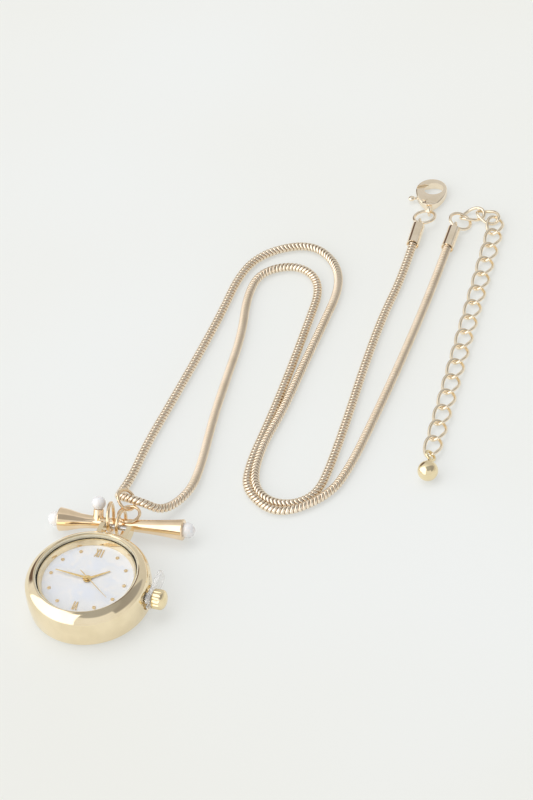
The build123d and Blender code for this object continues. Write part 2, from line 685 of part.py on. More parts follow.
def make_seconds_wheel():
    """Seconds wheel and pinion on the long arbor that carries the second hand."""
    wheel = toothed(SECONDS_TEETH, SECONDS_MODULE, SECONDS_Z, SECONDS_Z + WHEEL_THICKNESS, phase=INTERMEDIATE_ANGLE)
    wheel += toothed(
        TRAIN_PINION_TEETH, THIRD_MODULE, SECOND_LEVEL_Z - PINION_EXTRA,
        SECOND_LEVEL_Z + WHEEL_THICKNESS + PINION_EXTRA, phase=THIRD_ANGLE,
    )
    wheel += disc(SECONDS_ARBOR, arbor_low, SECOND_HAND_Z + HAND_THICKNESS)
    return wheel + disc(PIVOT_RADIUS, arbor_low - PIVOT_LENGTH, arbor_low + PIVOT_LENGTH)


def make_intermediate_wheel():
    """Wheel between rotor and seconds wheel."""
    wheel = toothed(
        INTERMEDIATE_TEETH, SECONDS_MODULE, SECOND_LEVEL_Z, SECOND_LEVEL_Z + WHEEL_THICKNESS, intermediate_at, ROTOR_ANGLE
    )
    wheel += toothed(
        TRAIN_PINION_TEETH, SECONDS_MODULE, SECONDS_Z - PINION_EXTRA, SECONDS_Z + WHEEL_THICKNESS + PINION_EXTRA,
        intermediate_at, meshed(INTERMEDIATE_ANGLE + 180, TRAIN_PINION_TEETH),
    )
    return pivoted(wheel, intermediate_at, arbor_low, PLATE_LOW_Z - RUNNING_GAP)


def make_rotor():
    """Round magnet and its pinion."""
    low = COIL_Z + CORE_THICKNESS / 2
    rotor = disc(MAGNET_RADIUS, low, low + STATOR_THICKNESS, rotor_at)
    rotor += toothed(
        TRAIN_PINION_TEETH, SECONDS_MODULE, SECOND_LEVEL_Z - PINION_EXTRA,
        SECOND_LEVEL_Z + WHEEL_THICKNESS + PINION_EXTRA, rotor_at, meshed(ROTOR_ANGLE + 180, TRAIN_PINION_TEETH),
    )
    return pivoted(rotor, rotor_at, arbor_low, PLATE_LOW_Z + RUNNING_GAP)


def make_third_wheel():
    """Wheel and pinion between seconds wheel and centre wheel."""
    wheel = toothed(
        THIRD_TEETH, THIRD_MODULE, SECOND_LEVEL_Z, SECOND_LEVEL_Z + WHEEL_THICKNESS, third_at,
        meshed(THIRD_ANGLE + 180, THIRD_TEETH),
    )
    wheel += toothed(
        TRAIN_PINION_TEETH, centre_module, CENTRE_Z - PINION_EXTRA, CENTRE_Z + WHEEL_THICKNESS + PINION_EXTRA,
        third_at, meshed(THIRD_ANGLE + 180, TRAIN_PINION_TEETH),
    )
    return pivoted(wheel, third_at, arbor_low, PLATE_LOW_Z - RUNNING_GAP)


def make_centre_wheel():
    """Wheel that turns once an hour, on a tube round the seconds arbor."""
    wheel = toothed(CENTRE_TEETH, centre_module, CENTRE_Z, CENTRE_Z + WHEEL_THICKNESS, phase=THIRD_ANGLE)
    wheel += disc(CENTRE_TUBE, CENTRE_Z, MINUTE_Z - RUNNING_GAP)
    return wheel - disc(CANNON_BORE, CENTRE_Z - OVERRUN, MINUTE_Z + OVERRUN)


def make_cannon_pinion():
    """Pinion over the centre wheel, whose tube carries the minute hand."""
    pinion = toothed(CANNON_TEETH, MOTION_MODULE, MINUTE_Z, MINUTE_Z + WHEEL_THICKNESS)
    pinion += disc(CANNON_TUBE, MINUTE_Z, MINUTE_HAND_Z + HAND_THICKNESS + RUNNING_GAP)
    return pinion - disc(CANNON_BORE, MINUTE_Z - OVERRUN, SECOND_HAND_Z)


def make_minute_wheel():
    """Wheel that the crown drives, with the pinion for the hour wheel."""
    wheel = toothed(
        MINUTE_TEETH, MOTION_MODULE, MINUTE_Z, MINUTE_Z + WHEEL_THICKNESS, minute_at, meshed(180, MINUTE_TEETH)
    )
    wheel += toothed(
        MINUTE_PINION_TEETH, hour_module, MINUTE_Z, HOUR_Z + WHEEL_THICKNESS + PINION_EXTRA, minute_at, 180
    )
    return wheel + disc(PIVOT_RADIUS, PLATE_HIGH_Z - PIVOT_LENGTH, HOUR_Z, minute_at)


def make_hour_wheel():
    """Wheel that turns once in twelve hours, whose tube carries the hour hand."""
    wheel = toothed(HOUR_TEETH, hour_module, HOUR_Z, HOUR_Z + WHEEL_THICKNESS, phase=meshed(0, HOUR_TEETH))
    wheel += disc(HOUR_TUBE, HOUR_Z, HOUR_HAND_Z + HAND_THICKNESS)
    return wheel - disc(HOUR_BORE, HOUR_Z - OVERRUN, MINUTE_HAND_Z + OVERRUN)


def make_hand(clock_angle, low, length, width, hub, bore, tail=HAND_TAIL):
    """A tapered hand that points at an angle clockwise from 12, with a round hub."""
    tip = width * HAND_TIP_SHARE
    outline = Polyline(
        (-tail, -width / 2), (0, -width / 2), (length, -tip / 2), (length, tip / 2), (0, width / 2), (-tail, width / 2),
        close=True,
    )
    hand = extrude(make_face(outline), HAND_THICKNESS) + Cylinder(hub, HAND_THICKNESS, align=FOOT)
    hand -= Cylinder(bore, 4 * HAND_THICKNESS)
    return Pos(0, 0, low) * Rot(0, 0, 90 - clock_angle) * hand


def make_hour_hand():
    return make_hand(HOUR_ANGLE, HOUR_HAND_Z, HOUR_HAND_LENGTH, HOUR_HAND_WIDTH, HAND_HUB, HOUR_TUBE + FIT / 3)


def make_minute_hand():
    return make_hand(MINUTE_ANGLE, MINUTE_HAND_Z, MINUTE_HAND_LENGTH, MINUTE_HAND_WIDTH, HOUR_TUBE, CANNON_TUBE + FIT / 3)


def make_second_hand():
    """Thin hand with a counterweight tail and a cap over the arbor's end."""
    hand = make_hand(
        SECOND_ANGLE, SECOND_HAND_Z, SECOND_HAND_LENGTH, SECOND_HAND_WIDTH, CANNON_TUBE, SECONDS_ARBOR + FIT / 3,
        SECOND_TAIL_LENGTH,
    )
    return hand


def make_crown():
    """Fluted crown with a domed face and a bore that goes over the tube when pushed in."""
    side = CROWN_LENGTH
    dome = (CROWN_RADIUS ** 2 + CROWN_DOME ** 2) / (2 * CROWN_DOME)
    spread = asin(CROWN_RADIUS / dome) / 2
    crown = turned(
        Line((0, 0), (CROWN_RADIUS - CROWN_DOME / 2, 0)),
        Line((CROWN_RADIUS - CROWN_DOME / 2, 0), (CROWN_RADIUS, CROWN_DOME / 2)),
        Line((CROWN_RADIUS, CROWN_DOME / 2), (CROWN_RADIUS, side)),
        ThreePointArc((CROWN_RADIUS, side), (dome * sin(spread), side + CROWN_DOME - dome * (1 - cos(spread))), (0, side + CROWN_DOME)),
        Line((0, side + CROWN_DOME), (0, 0)),
    )
    for flute in range(CROWN_FLUTES):
        groove = disc(FLUTE_RADIUS, -OVERRUN, side - CROWN_DOME / 2, polar(CROWN_RADIUS, 360 * flute / CROWN_FLUTES))
        crown -= groove
    crown -= disc(CROWN_BORE, -OVERRUN, CROWN_BORE_DEPTH)
    return Pos(CROWN_INNER_X, 0, CROWN_Z) * Rot(0, 90, 0) * crown


def make_stem():
    """Stem screwed into the crown, with the face-toothed sliding pinion at its inner end."""
    stem = rod_x(STEM_RADIUS, STEM_INNER_X, CROWN_INNER_X + CROWN_BORE_DEPTH, z=CROWN_Z)
    stem += rod_x(SLIDING_RADIUS, STEM_INNER_X, STEM_INNER_X + SLIDING_LENGTH, z=CROWN_Z)
    pitch = 360 / SLIDING_TEETH
    depth = SLIDING_RADIUS - SLIDING_CORE
    width = MOTION_MODULE
    for tooth in range(SLIDING_TEETH):
        bar = Pos(-FACE_TOOTH, 0, SLIDING_CORE) * Box(
            2 * FACE_TOOTH, width, depth * cos(radians(pitch / 4)), align=(Align.MIN, Align.CENTER, Align.MIN)
        )
        stem += Pos(STEM_INNER_X, 0, CROWN_Z) * Rot(pitch * tooth, 0, 0) * bar
    return stem


def make_crown_tube():
    """Tube pressed into the case that the stem turns in."""
    return rod_x(TUBE_RADIUS, TUBE_INNER_X, TUBE_OUTER_X, z=CROWN_Z) - rod_x(
        STEM_RADIUS + RUNNING_GAP, TUBE_INNER_X - OVERRUN, TUBE_OUTER_X + OVERRUN, z=CROWN_Z
    )


def make_crown_stop_tab():
    """Clear plastic clip that straddles the stem and keeps the crown out; its end is the pull."""
    length = TAB_HIGH_Y - TAB_LOW_Y
    plate = RectangleRounded(length, TAB_HEIGHT, TAB_CORNER)
    tab = Pos(TAB_INNER_X, (TAB_HIGH_Y + TAB_LOW_Y) / 2, CROWN_Z) * extrude(Plane.YZ * plate, TAB_THICKNESS)
    slot = block(
        (TAB_INNER_X - OVERRUN, TAB_LOW_Y - OVERRUN, CROWN_Z - TAB_SLOT / 2),
        (TAB_INNER_X + TAB_THICKNESS + OVERRUN, 0, CROWN_Z + TAB_SLOT / 2),
    )
    return tab - slot - rod_x(TAB_SLOT / 2, TAB_INNER_X - OVERRUN, TAB_INNER_X + TAB_THICKNESS + OVERRUN, z=CROWN_Z)


def on_bar(solid):
    """Moves a solid from the bar's own frame, with the bar along X, to its place."""
    return Pos(*BAR_CENTRE) * Rot(0, 0, BAR_TURN) * solid


def half_bar():
    """Half of the bar from its waist to an end with a cup and a peg for the pearl, along Z."""
    pearl = end_pearl_place()
    cup = END_PEARL + PEARL_GAP
    bottom = (0, pearl - cup)
    peg_top = pearl - END_PEARL + PEG_LENGTH
    cup_edge = (sqrt(cup ** 2 - (pearl - BAR_HALF) ** 2), BAR_HALF)
    cup_middle = (cup * sin(CUP_SPREAD), pearl - cup * cos(CUP_SPREAD))
    flat = (BAR_END - BAR_RIM, BAR_HALF)
    throat = (BAR_END, BAR_HALF - BAR_RIM)
    rim_sink = BAR_RIM * (1 - cos(pi / 4))
    body = turned(
        Line((0, 0), (BAR_WAIST, 0)),
        TangentArc((BAR_WAIST, 0), throat, tangent=(0, 1)),
        ThreePointArc(throat, (BAR_END - rim_sink, BAR_HALF - rim_sink), flat),
        Line(flat, cup_edge),
        ThreePointArc(cup_edge, cup_middle, bottom),
        Line(bottom, (0, 0)),
    )
    return body + disc(PEG_RADIUS, 0, peg_top)


def make_bar():
    """Bow-tie bar turned from rod: slim waist, a cup at each end, and a cupped boss on its back."""
    half = half_bar()
    boss = Cone(BOSS_ROOT, BOSS_TOP, BOSS_HEIGHT, align=FOOT)
    boss -= Pos(0, 0, BOSS_HEIGHT + boss_pearl_rise()) * Sphere(BOSS_PEARL + PEARL_GAP)
    boss += disc(PEG_RADIUS, 0, BOSS_HEIGHT + boss_pearl_rise() - BOSS_PEARL + PEG_LENGTH)
    left = Rot(0, -90, 0) * half + Pos(BOSS_PLACE, 0, 0) * Rot(-BOSS_LEAN, 0, 0) * boss
    return on_bar(left + Rot(0, 90, 0) * half)


def end_pearl_place():
    """Distance from the bar's middle to an end pearl's centre."""
    return BAR_HALF + END_PEARL - CUP_DEPTH


def boss_pearl_rise():
    """Height of the boss pearl's centre over the boss's top."""
    return sqrt(BOSS_PEARL ** 2 - BOSS_TOP ** 2 / 2)


def make_end_pearl(side):
    """Half-drilled pearl in the cup at one end of the bar."""
    pearl = Pos(side * end_pearl_place(), 0, 0) * Sphere(END_PEARL)
    drill = end_pearl_place() - END_PEARL + PEG_LENGTH + PEARL_GAP
    return on_bar(pearl - rod_x(PEG_RADIUS + PEARL_GAP, min(0, side * drill), max(0, side * drill)))


def make_boss_pearl():
    """Half-drilled pearl on the boss."""
    pearl = Pos(0, 0, BOSS_HEIGHT + boss_pearl_rise()) * Sphere(BOSS_PEARL)
    pearl -= disc(PEG_RADIUS + PEARL_GAP, 0, BOSS_HEIGHT + boss_pearl_rise() - BOSS_PEARL + PEG_LENGTH + PEARL_GAP)
    return on_bar(Pos(BOSS_PLACE, 0, 0) * Rot(-BOSS_LEAN, 0, 0) * pearl)


def chain_path():
    """The chain's centre line: straight runs joined by arcs as large as the runs allow."""
    points = [Vector(*point) for point in CHAIN_ROUTE]
    radii = []
    for before, corner, after in zip(points, points[1:], points[2:]):
        turn = (corner - before).get_angle(after - corner)
        run = min((corner - before).length, (after - corner).length)
        radii.append(ARC_SHARE * run / tan(radians(turn / 2)))
    print("chain arc radii:", " ".join(f"{radius:.0f}" for radius in radii))
    return FilletPolyline(*CHAIN_ROUTE, radius=radii)


def make_snake_chain():
    """The chain as a round tube of its outer diameter."""
    path = chain_path()
    chain = sweep(Plane(origin=path @ 0, z_dir=path % 0) * Circle(CHAIN_DIAMETER / 2), path=path)
    section = pi * CHAIN_DIAMETER ** 2 / 4
    print(f"chain length {path.length:.1f}, volume {chain.volume:.1f} against {section * path.length:.1f}")
    return chain


def cap_frame(end, inner):
    """Plane at a chain end: its Z runs from the chain out through the cap."""
    tip = Vector(*end)
    along = tip - Vector(*inner)
    return Plane(origin=tip, x_dir=along.cross(Vector(0, 0, 1)), z_dir=along)


def make_end_cap(end, inner):
    """Sleeve that the chain is glued into, closed by a dome with a wire loop on it."""
    frame = cap_frame(end, inner)
    cap = band(CAP_RADIUS, CAP_RADIUS - CAP_WALL, -CAP_GRIP, CAP_LENGTH - CAP_GRIP)
    cap += disc(CAP_RADIUS, PEARL_GAP, CAP_LENGTH - CAP_GRIP - CAP_DOME)
    cap += Pos(0, 0, CAP_LENGTH - CAP_GRIP - CAP_DOME) * Cone(CAP_RADIUS, CAP_RADIUS / 2, CAP_DOME, align=FOOT)
    loop_z = CAP_LENGTH - CAP_GRIP + CAP_LOOP_RADIUS
    cap += Pos(0, 0, loop_z) * Rot(0, 90, 0) * Torus(CAP_LOOP_RADIUS, CAP_LOOP_WIRE)
    return frame * cap


def extender_joints():
    """Points where one link of the extender meets the next."""
    start, end = Vector(*STRAIGHT_START), Vector(*STRAIGHT_END)
    steps = STRAIGHT_LINKS
    run = [start + (end - start) * (step / steps) for step in range(steps + 1)]
    return [Vector(*point) for point in FIRST_JOINTS] + run


def make_link(start, end):
    """A twisted oval link between two joints: its wire rises and falls twice round the loop."""
    middle = (start + end) / 2
    angle = degrees(atan2(end.Y - start.Y, end.X - start.X))
    points = []
    for step in range(12):
        t = 2 * pi * step / 12
        points.append((LINK_HALF_LENGTH * cos(t), EXTENDER_HALF_WIDTH * sin(t), EXTENDER_TWIST * sin(2 * t)))
    loop = Spline(*points, periodic=True)
    link = Part()
    for start, end in ((0, 0.5), (0.5, 1)):
        path = loop.trim(start, end)
        link += sweep(Plane(origin=path @ 0, z_dir=path % 0) * Circle(EXTENDER_WIRE), path=path)
    return Pos(middle.X, middle.Y, EXTENDER_Z) * Rot(0, 0, angle) * link


def make_extender_ball():
    """Ball, neck and eye at the end of the extender."""
    last = extender_joints()[-1]
    flat_ball = Vector(*BALL_CENTRE)
    away = (flat_ball - last).normalized()
    eye = last + away * (EYE_RADIUS - EXTENDER_WIRE - LINK_SLACK) + Vector(0, 0, EYE_Z)
    ball = flat_ball + Vector(0, 0, BALL_RADIUS)
    axis = (ball - eye).normalized()
    neck = Plane(origin=ball, z_dir=eye - ball) * Cylinder(NECK_RADIUS, (ball - eye).length - EYE_RADIUS, align=FOOT)
    side = Vector(0, 0, 1).cross(axis).normalized()
    tilted = side.rotate(Axis((0, 0, 0), tuple(axis)), EYE_TILT)
    return Pos(*ball) * Sphere(BALL_RADIUS) + neck + Plane(origin=eye, x_dir=axis, z_dir=tilted) * Torus(EYE_RADIUS, EYE_WIRE)


def on_clasp(solid):
    """Moves a solid from the clasp's own frame to its place."""
    return Pos(CLASP_TAIL[0], CLASP_TAIL[1], CLASP_Z) * Rot(0, 0, CLASP_TURN) * solid


def clasp_outline():
    """The clasp seen from above: a round head that tapers to the neck."""
    half = CLASP_WIDTH / 2
    flank = CLASP_FLANK
    left, right = (-half, CLASP_WIDEST), (half, CLASP_WIDEST)
    low_left, low_right = (-CLASP_NECK, CLASP_NECK_Y), (CLASP_NECK, CLASP_NECK_Y)
    return make_face(
        Curve() + [
            ThreePointArc(left, (0, CLASP_NOSE), right),
            ThreePointArc(right, flank, low_right),
            Line(low_right, low_left),
            ThreePointArc(low_left, (-flank[0], flank[1]), left),
        ]
    )


def clasp_plate(face, thickness):
    """A plate of an outline, centred on the clasp's middle plane."""
    return Pos(0, 0, -thickness / 2) * extrude(face, thickness)


def clasp_opening():
    """The oval space that a link is caught in."""
    return Pos(*OPENING_CENTRE) * Ellipse(OPENING_HALF_X, OPENING_HALF_Y)


def lever_region(play=0):
    """Left lobe of the clasp that swings, from below the rivet to the end of the hook."""
    half = CLASP_WIDTH / 2 + OVERRUN
    foot, right = LEVER_FOOT_Y - play, LEVER_RIGHT_X + play
    lobe = make_face(
        Polyline(
            (-half, foot), (right, foot), (right, OPENING_CENTRE[1]),
            (OPENING_CENTRE[0], CLASP_NOSE), (-half, CLASP_NOSE), close=True,
        )
    )
    return lobe & Pos(*RIVET_PLACE) * Circle(LEVER_REACH + play)


def lever_turned(shape, angle):
    """A shape of the lever after it has swung open by an angle about the rivet."""
    return Pos(*RIVET_PLACE) * Rot(0, 0, -angle) * Pos(-RIVET_PLACE[0], -RIVET_PLACE[1]) * shape


def make_clasp_body():
    """Tail ring, slotted housing and the hook round the opening."""
    body = clasp_plate(clasp_outline(), CLASP_THICKNESS)
    body = fillet(body.edges().filter_by(Plane.XY), CLASP_THICKNESS / 5)
    body -= clasp_plate(clasp_opening(), 2 * CLASP_THICKNESS)
    for angle in (0, LEVER_SWING / 2, LEVER_SWING):
        room = lever_turned(lever_region(LEVER_PLAY), angle)
        body -= clasp_plate(room, SLOT_HEIGHT + 2 * LEVER_PLAY)
    above = Pos(OPENING_CENTRE[0] - CLASP_WIDTH, CLASP_NOSE) * Rectangle(
        2 * CLASP_WIDTH, 2 * (CLASP_NOSE - OPENING_CENTRE[1])
    )
    body -= clasp_plate(lever_region(LEVER_PLAY) & above, 2 * CLASP_THICKNESS)
    body -= disc(RIVET_RADIUS + FIT, -CLASP_THICKNESS, CLASP_THICKNESS, RIVET_PLACE)
    body += Rot(0, 90, 0) * Torus(TAIL_RING, TAIL_WIRE)
    return on_clasp(body)


def make_clasp_lever():
    """Lever that closes the opening, with its thumb knob."""
    lever = clasp_plate((clasp_outline() & lever_region()) - clasp_opening(), SLOT_HEIGHT)
    lever += rod_x(STALK_RADIUS, KNOB_PLACE[0], RIVET_PLACE[0], KNOB_PLACE[1])
    lever += Pos(*KNOB_PLACE, 0) * Rot(0, 90, 0) * Sphere(KNOB_RADIUS)
    lever -= disc(RIVET_RADIUS + FIT, -CLASP_THICKNESS, CLASP_THICKNESS, RIVET_PLACE)
    lever -= disc(SPRING_WELL, -SLOT_HEIGHT / 4, CLASP_THICKNESS, RIVET_PLACE)
    return on_clasp(lever)


def make_clasp_rivet():
    """Rivet through housing and lever."""
    half = CLASP_THICKNESS / 2
    rivet = disc(RIVET_RADIUS, -half, half, RIVET_PLACE)
    rivet += disc(RIVET_HEAD, half, half + RIVET_HEAD_HEIGHT, RIVET_PLACE)
    return on_clasp(rivet + disc(RIVET_HEAD, -half - RIVET_HEAD_HEIGHT, -half, RIVET_PLACE))


def make_clasp_spring():
    """Small spring coiled round the rivet in the lever's well."""
    coil = Helix(SPRING_PITCH, SPRING_PITCH * SPRING_TURNS, SPRING_RADIUS)
    wire = sweep(Plane(origin=coil @ 0, z_dir=coil % 0) * Circle(SPRING_WIRE), path=coil)
    return on_clasp(Pos(RIVET_PLACE[0], RIVET_PLACE[1], SPRING_WIRE - SLOT_HEIGHT / 4 + FIT) * wire)


def build_parts():
    """Every sub-part by its name."""
    parts = {
        "case": make_case(),
        "lug_pin": make_lug_pin(),
        "case_back": make_case_back(),
        "back_gasket": make_back_gasket(),
        "crystal": make_crystal(),
        "crystal_gasket": make_crystal_gasket(),
        "flange_ring": make_flange_ring(),
        "dial": make_dial(),
        "hour_marks": make_hour_marks(),
        "movement_holder": make_movement_holder(),
        "main_plate": make_main_plate(),
        "train_bridge": make_train_bridge(),
        "movement_screws": make_movement_screws(),
        "coil": make_coil(),
        "stator": make_stator(),
        "circuit_board": make_circuit_board(),
        "battery": make_battery(),
        "battery_strap": make_battery_strap(),
        "seconds_wheel": make_seconds_wheel(),
        "intermediate_wheel": make_intermediate_wheel(),
        "rotor": make_rotor(),
        "third_wheel": make_third_wheel(),
        "centre_wheel": make_centre_wheel(),
        "cannon_pinion": make_cannon_pinion(),
        "minute_wheel": make_minute_wheel(),
        "hour_wheel": make_hour_wheel(),
        "hour_hand": make_hour_hand(),
        "minute_hand": make_minute_hand(),
        "second_hand": make_second_hand(),
        "crown_tube": make_crown_tube(),
        "stem": make_stem(),
        "crown": make_crown(),
        "crown_stop_tab": make_crown_stop_tab(),
        "bar": make_bar(),
        "left_end_pearl": make_end_pearl(-1),
        "right_end_pearl": make_end_pearl(1),
        "boss_pearl": make_boss_pearl(),
        "bar_ring_left": wire_ring(LEFT_RING_CENTRE, turned_axis(LEFT_RING_TURN), LEFT_RING_RADIUS, RING_WIRE),
        "bar_ring_right": wire_ring(RIGHT_RING_CENTRE, turned_axis(RIGHT_RING_TURN), RIGHT_RING_RADIUS, RING_WIRE),
        "link_ring": wire_ring(LINK_RING_CENTRE, LINK_RING_AXIS, LINK_RING_RADIUS, LINK_WIRE),
        "chain_ring": wire_ring(CHAIN_RING_CENTRE, CHAIN_RING_AXIS, CHAIN_RING_RADIUS, LINK_WIRE),
        "snake_chain": make_snake_chain(),
        "clasp_end_cap": make_end_cap(CHAIN_ROUTE[0], CHAIN_ROUTE[1]),
        "extender_end_cap": make_end_cap(CHAIN_ROUTE[-1], CHAIN_ROUTE[-2]),
        "clasp_body": make_clasp_body(),
        "clasp_lever": make_clasp_lever(),
        "clasp_rivet": make_clasp_rivet(),
        "clasp_spring": make_clasp_spring(),
        "clasp_jump_ring": wire_ring(CLASP_JUMP_CENTRE, CLASP_JUMP_AXIS, JUMP_RADIUS, JUMP_WIRE),
        "extender_jump_ring": wire_ring(EXTENDER_JUMP_CENTRE, EXTENDER_JUMP_AXIS, JUMP_RADIUS, JUMP_WIRE),
        "extender_ball": make_extender_ball(),
    }
    joints = extender_joints()
    links = [make_link(start, end) for start, end in zip(joints, joints[1:])]
    for group in range(0, len(links), LINKS_PER_GROUP):
        name = f"extender_links_{group // LINKS_PER_GROUP + 1}"
        parts[name] = Compound(children=links[group:group + LINKS_PER_GROUP])
    return parts


os.makedirs("parts", exist_ok=True)
for name, solid in build_parts().items():
    export_step(solid, f"parts/{name}.step")
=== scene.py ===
"""Pendant watch on a long snake chain: chain, crown, clasp and bar shapes, finishes and studio.

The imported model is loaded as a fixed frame. Each operator makes or finishes one group of pieces,
and the panel in the sidebar lists them. Settings and the camera's places are in metres, and the
named sizes of the pieces are in millimetres and degrees.
"""

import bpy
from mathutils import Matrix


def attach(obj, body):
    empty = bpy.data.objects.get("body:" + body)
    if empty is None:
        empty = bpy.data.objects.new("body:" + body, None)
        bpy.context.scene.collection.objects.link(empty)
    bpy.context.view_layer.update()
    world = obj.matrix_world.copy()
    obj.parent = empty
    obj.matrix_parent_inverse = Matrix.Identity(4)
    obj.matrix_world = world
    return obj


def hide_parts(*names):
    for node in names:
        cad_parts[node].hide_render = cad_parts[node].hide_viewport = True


bl_info = {
    "name": "Pendant Watch",
    "version": (1, 0, 0),
    "blender": (4, 5, 0),
    "location": "View3D > Sidebar > Watch",
    "description": "Chain, crown, clasp and bar shapes, metal finishes and studio for a pendant watch",
    "category": "Object",
}

from math import pi, radians

import bpy
import numpy as np
from mathutils import Vector

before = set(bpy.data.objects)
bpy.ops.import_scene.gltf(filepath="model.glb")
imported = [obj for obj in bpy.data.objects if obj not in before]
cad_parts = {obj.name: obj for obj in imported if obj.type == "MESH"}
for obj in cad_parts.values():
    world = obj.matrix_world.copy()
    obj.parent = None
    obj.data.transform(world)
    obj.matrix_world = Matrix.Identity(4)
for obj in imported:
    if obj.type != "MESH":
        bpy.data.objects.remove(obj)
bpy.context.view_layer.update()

MM = 0.001
WHITE = (1, 1, 1)
UP = (0, 0, 1)

# Route of the snake chain's middle line, from the clasp's end cap to the extender's end cap
LOW = 1.1
CAP = 1.65
ROUTE = (
    (36.7, 127, CAP), (37.4, 115, LOW), (36.8, 99.5, LOW), (37.6, 81.9, LOW), (38.8, 65.8, LOW),
    (39.6, 50, LOW), (39.3, 41.2, LOW), (34.9, 36.6, LOW), (28.5, 36.6, LOW), (23.7, 41.5, LOW),
    (22.2, 52.5, LOW), (23.4, 65, LOW), (23.5, 80, LOW), (23.8, 95, LOW), (23.9, 107.9, LOW),
    (20, 116.4, LOW), (12.3, 121.1, LOW), (3.1, 116.8, LOW), (-1.4, 108.7, LOW), (-1.3, 92.2, LOW),
    (-2.1, 76, LOW), (-3.1, 60, LOW), (-4, 47.5, LOW), (-3.8, 36.7, LOW), (-4.6, 30.6, 1.3),
    (-2.46, 26.87, 5.33), (3.23, 25.56, 6.12), (7.64, 26.97, 2.5), (11, 34.3, 1.7), (10.8, 42.8, LOW),
    (8.4, 58.6, LOW), (7.2, 71.6, LOW), (6, 86.7, LOW), (2.8, 100.3, LOW), (3.4, 109.2, LOW),
    (11.8, 113.5, LOW), (19.3, 108, LOW), (20.2, 92.9, LOW), (21, 77, LOW), (21.4, 60.8, LOW),
    (21.3, 46.6, LOW), (23.1, 38.3, LOW), (32.7, 32.7, LOW), (42, 41.1, LOW), (44.1, 50.7, LOW),
    (44.9, 68.2, LOW), (45.4, 84, LOW), (45.6, 100, LOW), (45.5, 115.6, LOW), (45.3, 127.6, CAP),
)
ROUTE_RESOLUTION = 16

# One plate of the chain: places along it as shares of the pitch, and how deep the gap is there
PLATE_PLACE_SHARES = (0, 0.08, 0.22, 0.5, 0.78, 0.92)
PLATE_DEPTH_SHARES = (1, 0.55, 0.18, 0, 0.18, 0.55)

# Points round the chain, and the share of its radius that it loses on the diagonals
CHAIN_COLUMNS = 20
DIAGONAL_SHARE = 0.07

# Painted shade in the gaps between plates: its colour, and where it starts and is full, in shares of the
# pitch from a plate's middle
GAP_SHADE_COLOUR = (0.36, 0.21, 0.12)
GAP_SHADE_EDGE_SHARES = (0.36, 0.44)

# The imported nodes at the chain's ends
LINKS = [f"extender_links_{number}" for number in range(1, 10)]
CLASP_PIECES = ["clasp_body", "clasp_lever", "clasp_rivet", "clasp_spring"]
CHAIN_END_NODES = ["clasp_end_cap", "extender_end_cap", "clasp_jump_ring", "extender_jump_ring",
                   *LINKS, "extender_ball"]

# The crown: the place of its inner face, its height over the floor, its stem bore and its profile
CROWN_X = 15.2
CROWN_Z = 4.6
CROWN_BORE = 1.25
CROWN_BORE_DEPTH = 1.5
CROWN_RADIUS = 2.3
CROWN_FACE_RADIUS = 1.95
CROWN_BEVEL_RADIUS = 2.18
CROWN_BEVEL = 0.12
CROWN_SHOULDER = 0.3
CROWN_SIDE = 1.75
CROWN_RIM = 0.2
CROWN_DOME = 1.3
CROWN_TIP = 0.01
DOME_RISES = (8, 16, 26, 36, 46, 56, 66, 76, 84)

# The crown's flutes: their number, depth and sharpness, and their share of the depth on each ring
CROWN_FLUTES = 14
FLUTE_COLUMNS = 10
FLUTE_DEPTH = 0.24
FLUTE_POWER = 0.8
FLUTE_DEPTH_SHARES = (0, 0, 0, 0.8, 1, 1, 0.9, 0.35, 0.1, 0, 0, 0, 0, 0, 0, 0)

# The clasp's own frame, and where it starts to be slimmer, over what length and by how much
CLASP_TAIL = (37.25, 138.25)
CLASP_HEIGHT = 1.5
CLASP_TURN = 12
SLIM_START = 1.3
SLIM_RUN = 1.3
SLIM_SHARE = 0.28
SLIM_DROP = 0.3

# The clasp's opening: its half sizes, how much it widens, and how far out that reaches and fades
OPENING_CENTRE = (0.55, 7.6)
OPENING_HALF = (2.05, 1.75)
WIDER_SHARE = 0.2
WIDER_REACH_SHARE = 1.6
WIDER_FADE_SHARE = 0.6

# The bar's own frame, and how far each end moves: the place where that starts and its run
BAR_CENTRE = (-1.2, 20.2)
BAR_HEIGHT = 3.4
BAR_TURN = 6.2
LEFT_SHIFT = 2.0
LEFT_START = 6.2
LEFT_RUN = 6
RIGHT_SHIFT = 0.5
RIGHT_START = 3
RIGHT_RUN = 9

# What the bar's left end gains in radius, and where that starts along the bar and out from its line
SWELL = 0.3
SWELL_START = 6
SWELL_RUN = 4
SWELL_INNER = 1.75
SWELL_DEPTH = 0.4

# The least radius to divide by, for points on the bar's middle line
LEAST_RADIUS = 0.1

# The camera, in metres and degrees, with its focal length in millimetres
CAMERA_PLACE = (0.24022736, -0.43451094, 0.53461345)
CAMERA_TURN = (45.526892, 5.654842, 18.301634)
FOCAL_LENGTH = 148.5
CLIP_START = 0.01

# The paper's half width in metres, and how much of what is seen of it is its own even light
PAPER_REACH = 3.0
PAPER_GLOW_SHARE = 0.55

# The key lamp, in metres and watts
KEY_PLACE = (-0.25, 0.3, 1.3)
KEY_AIM = (0.02, 0.06, 0)
KEY_SIZE = 1.0
KEY_POWER = 4.6

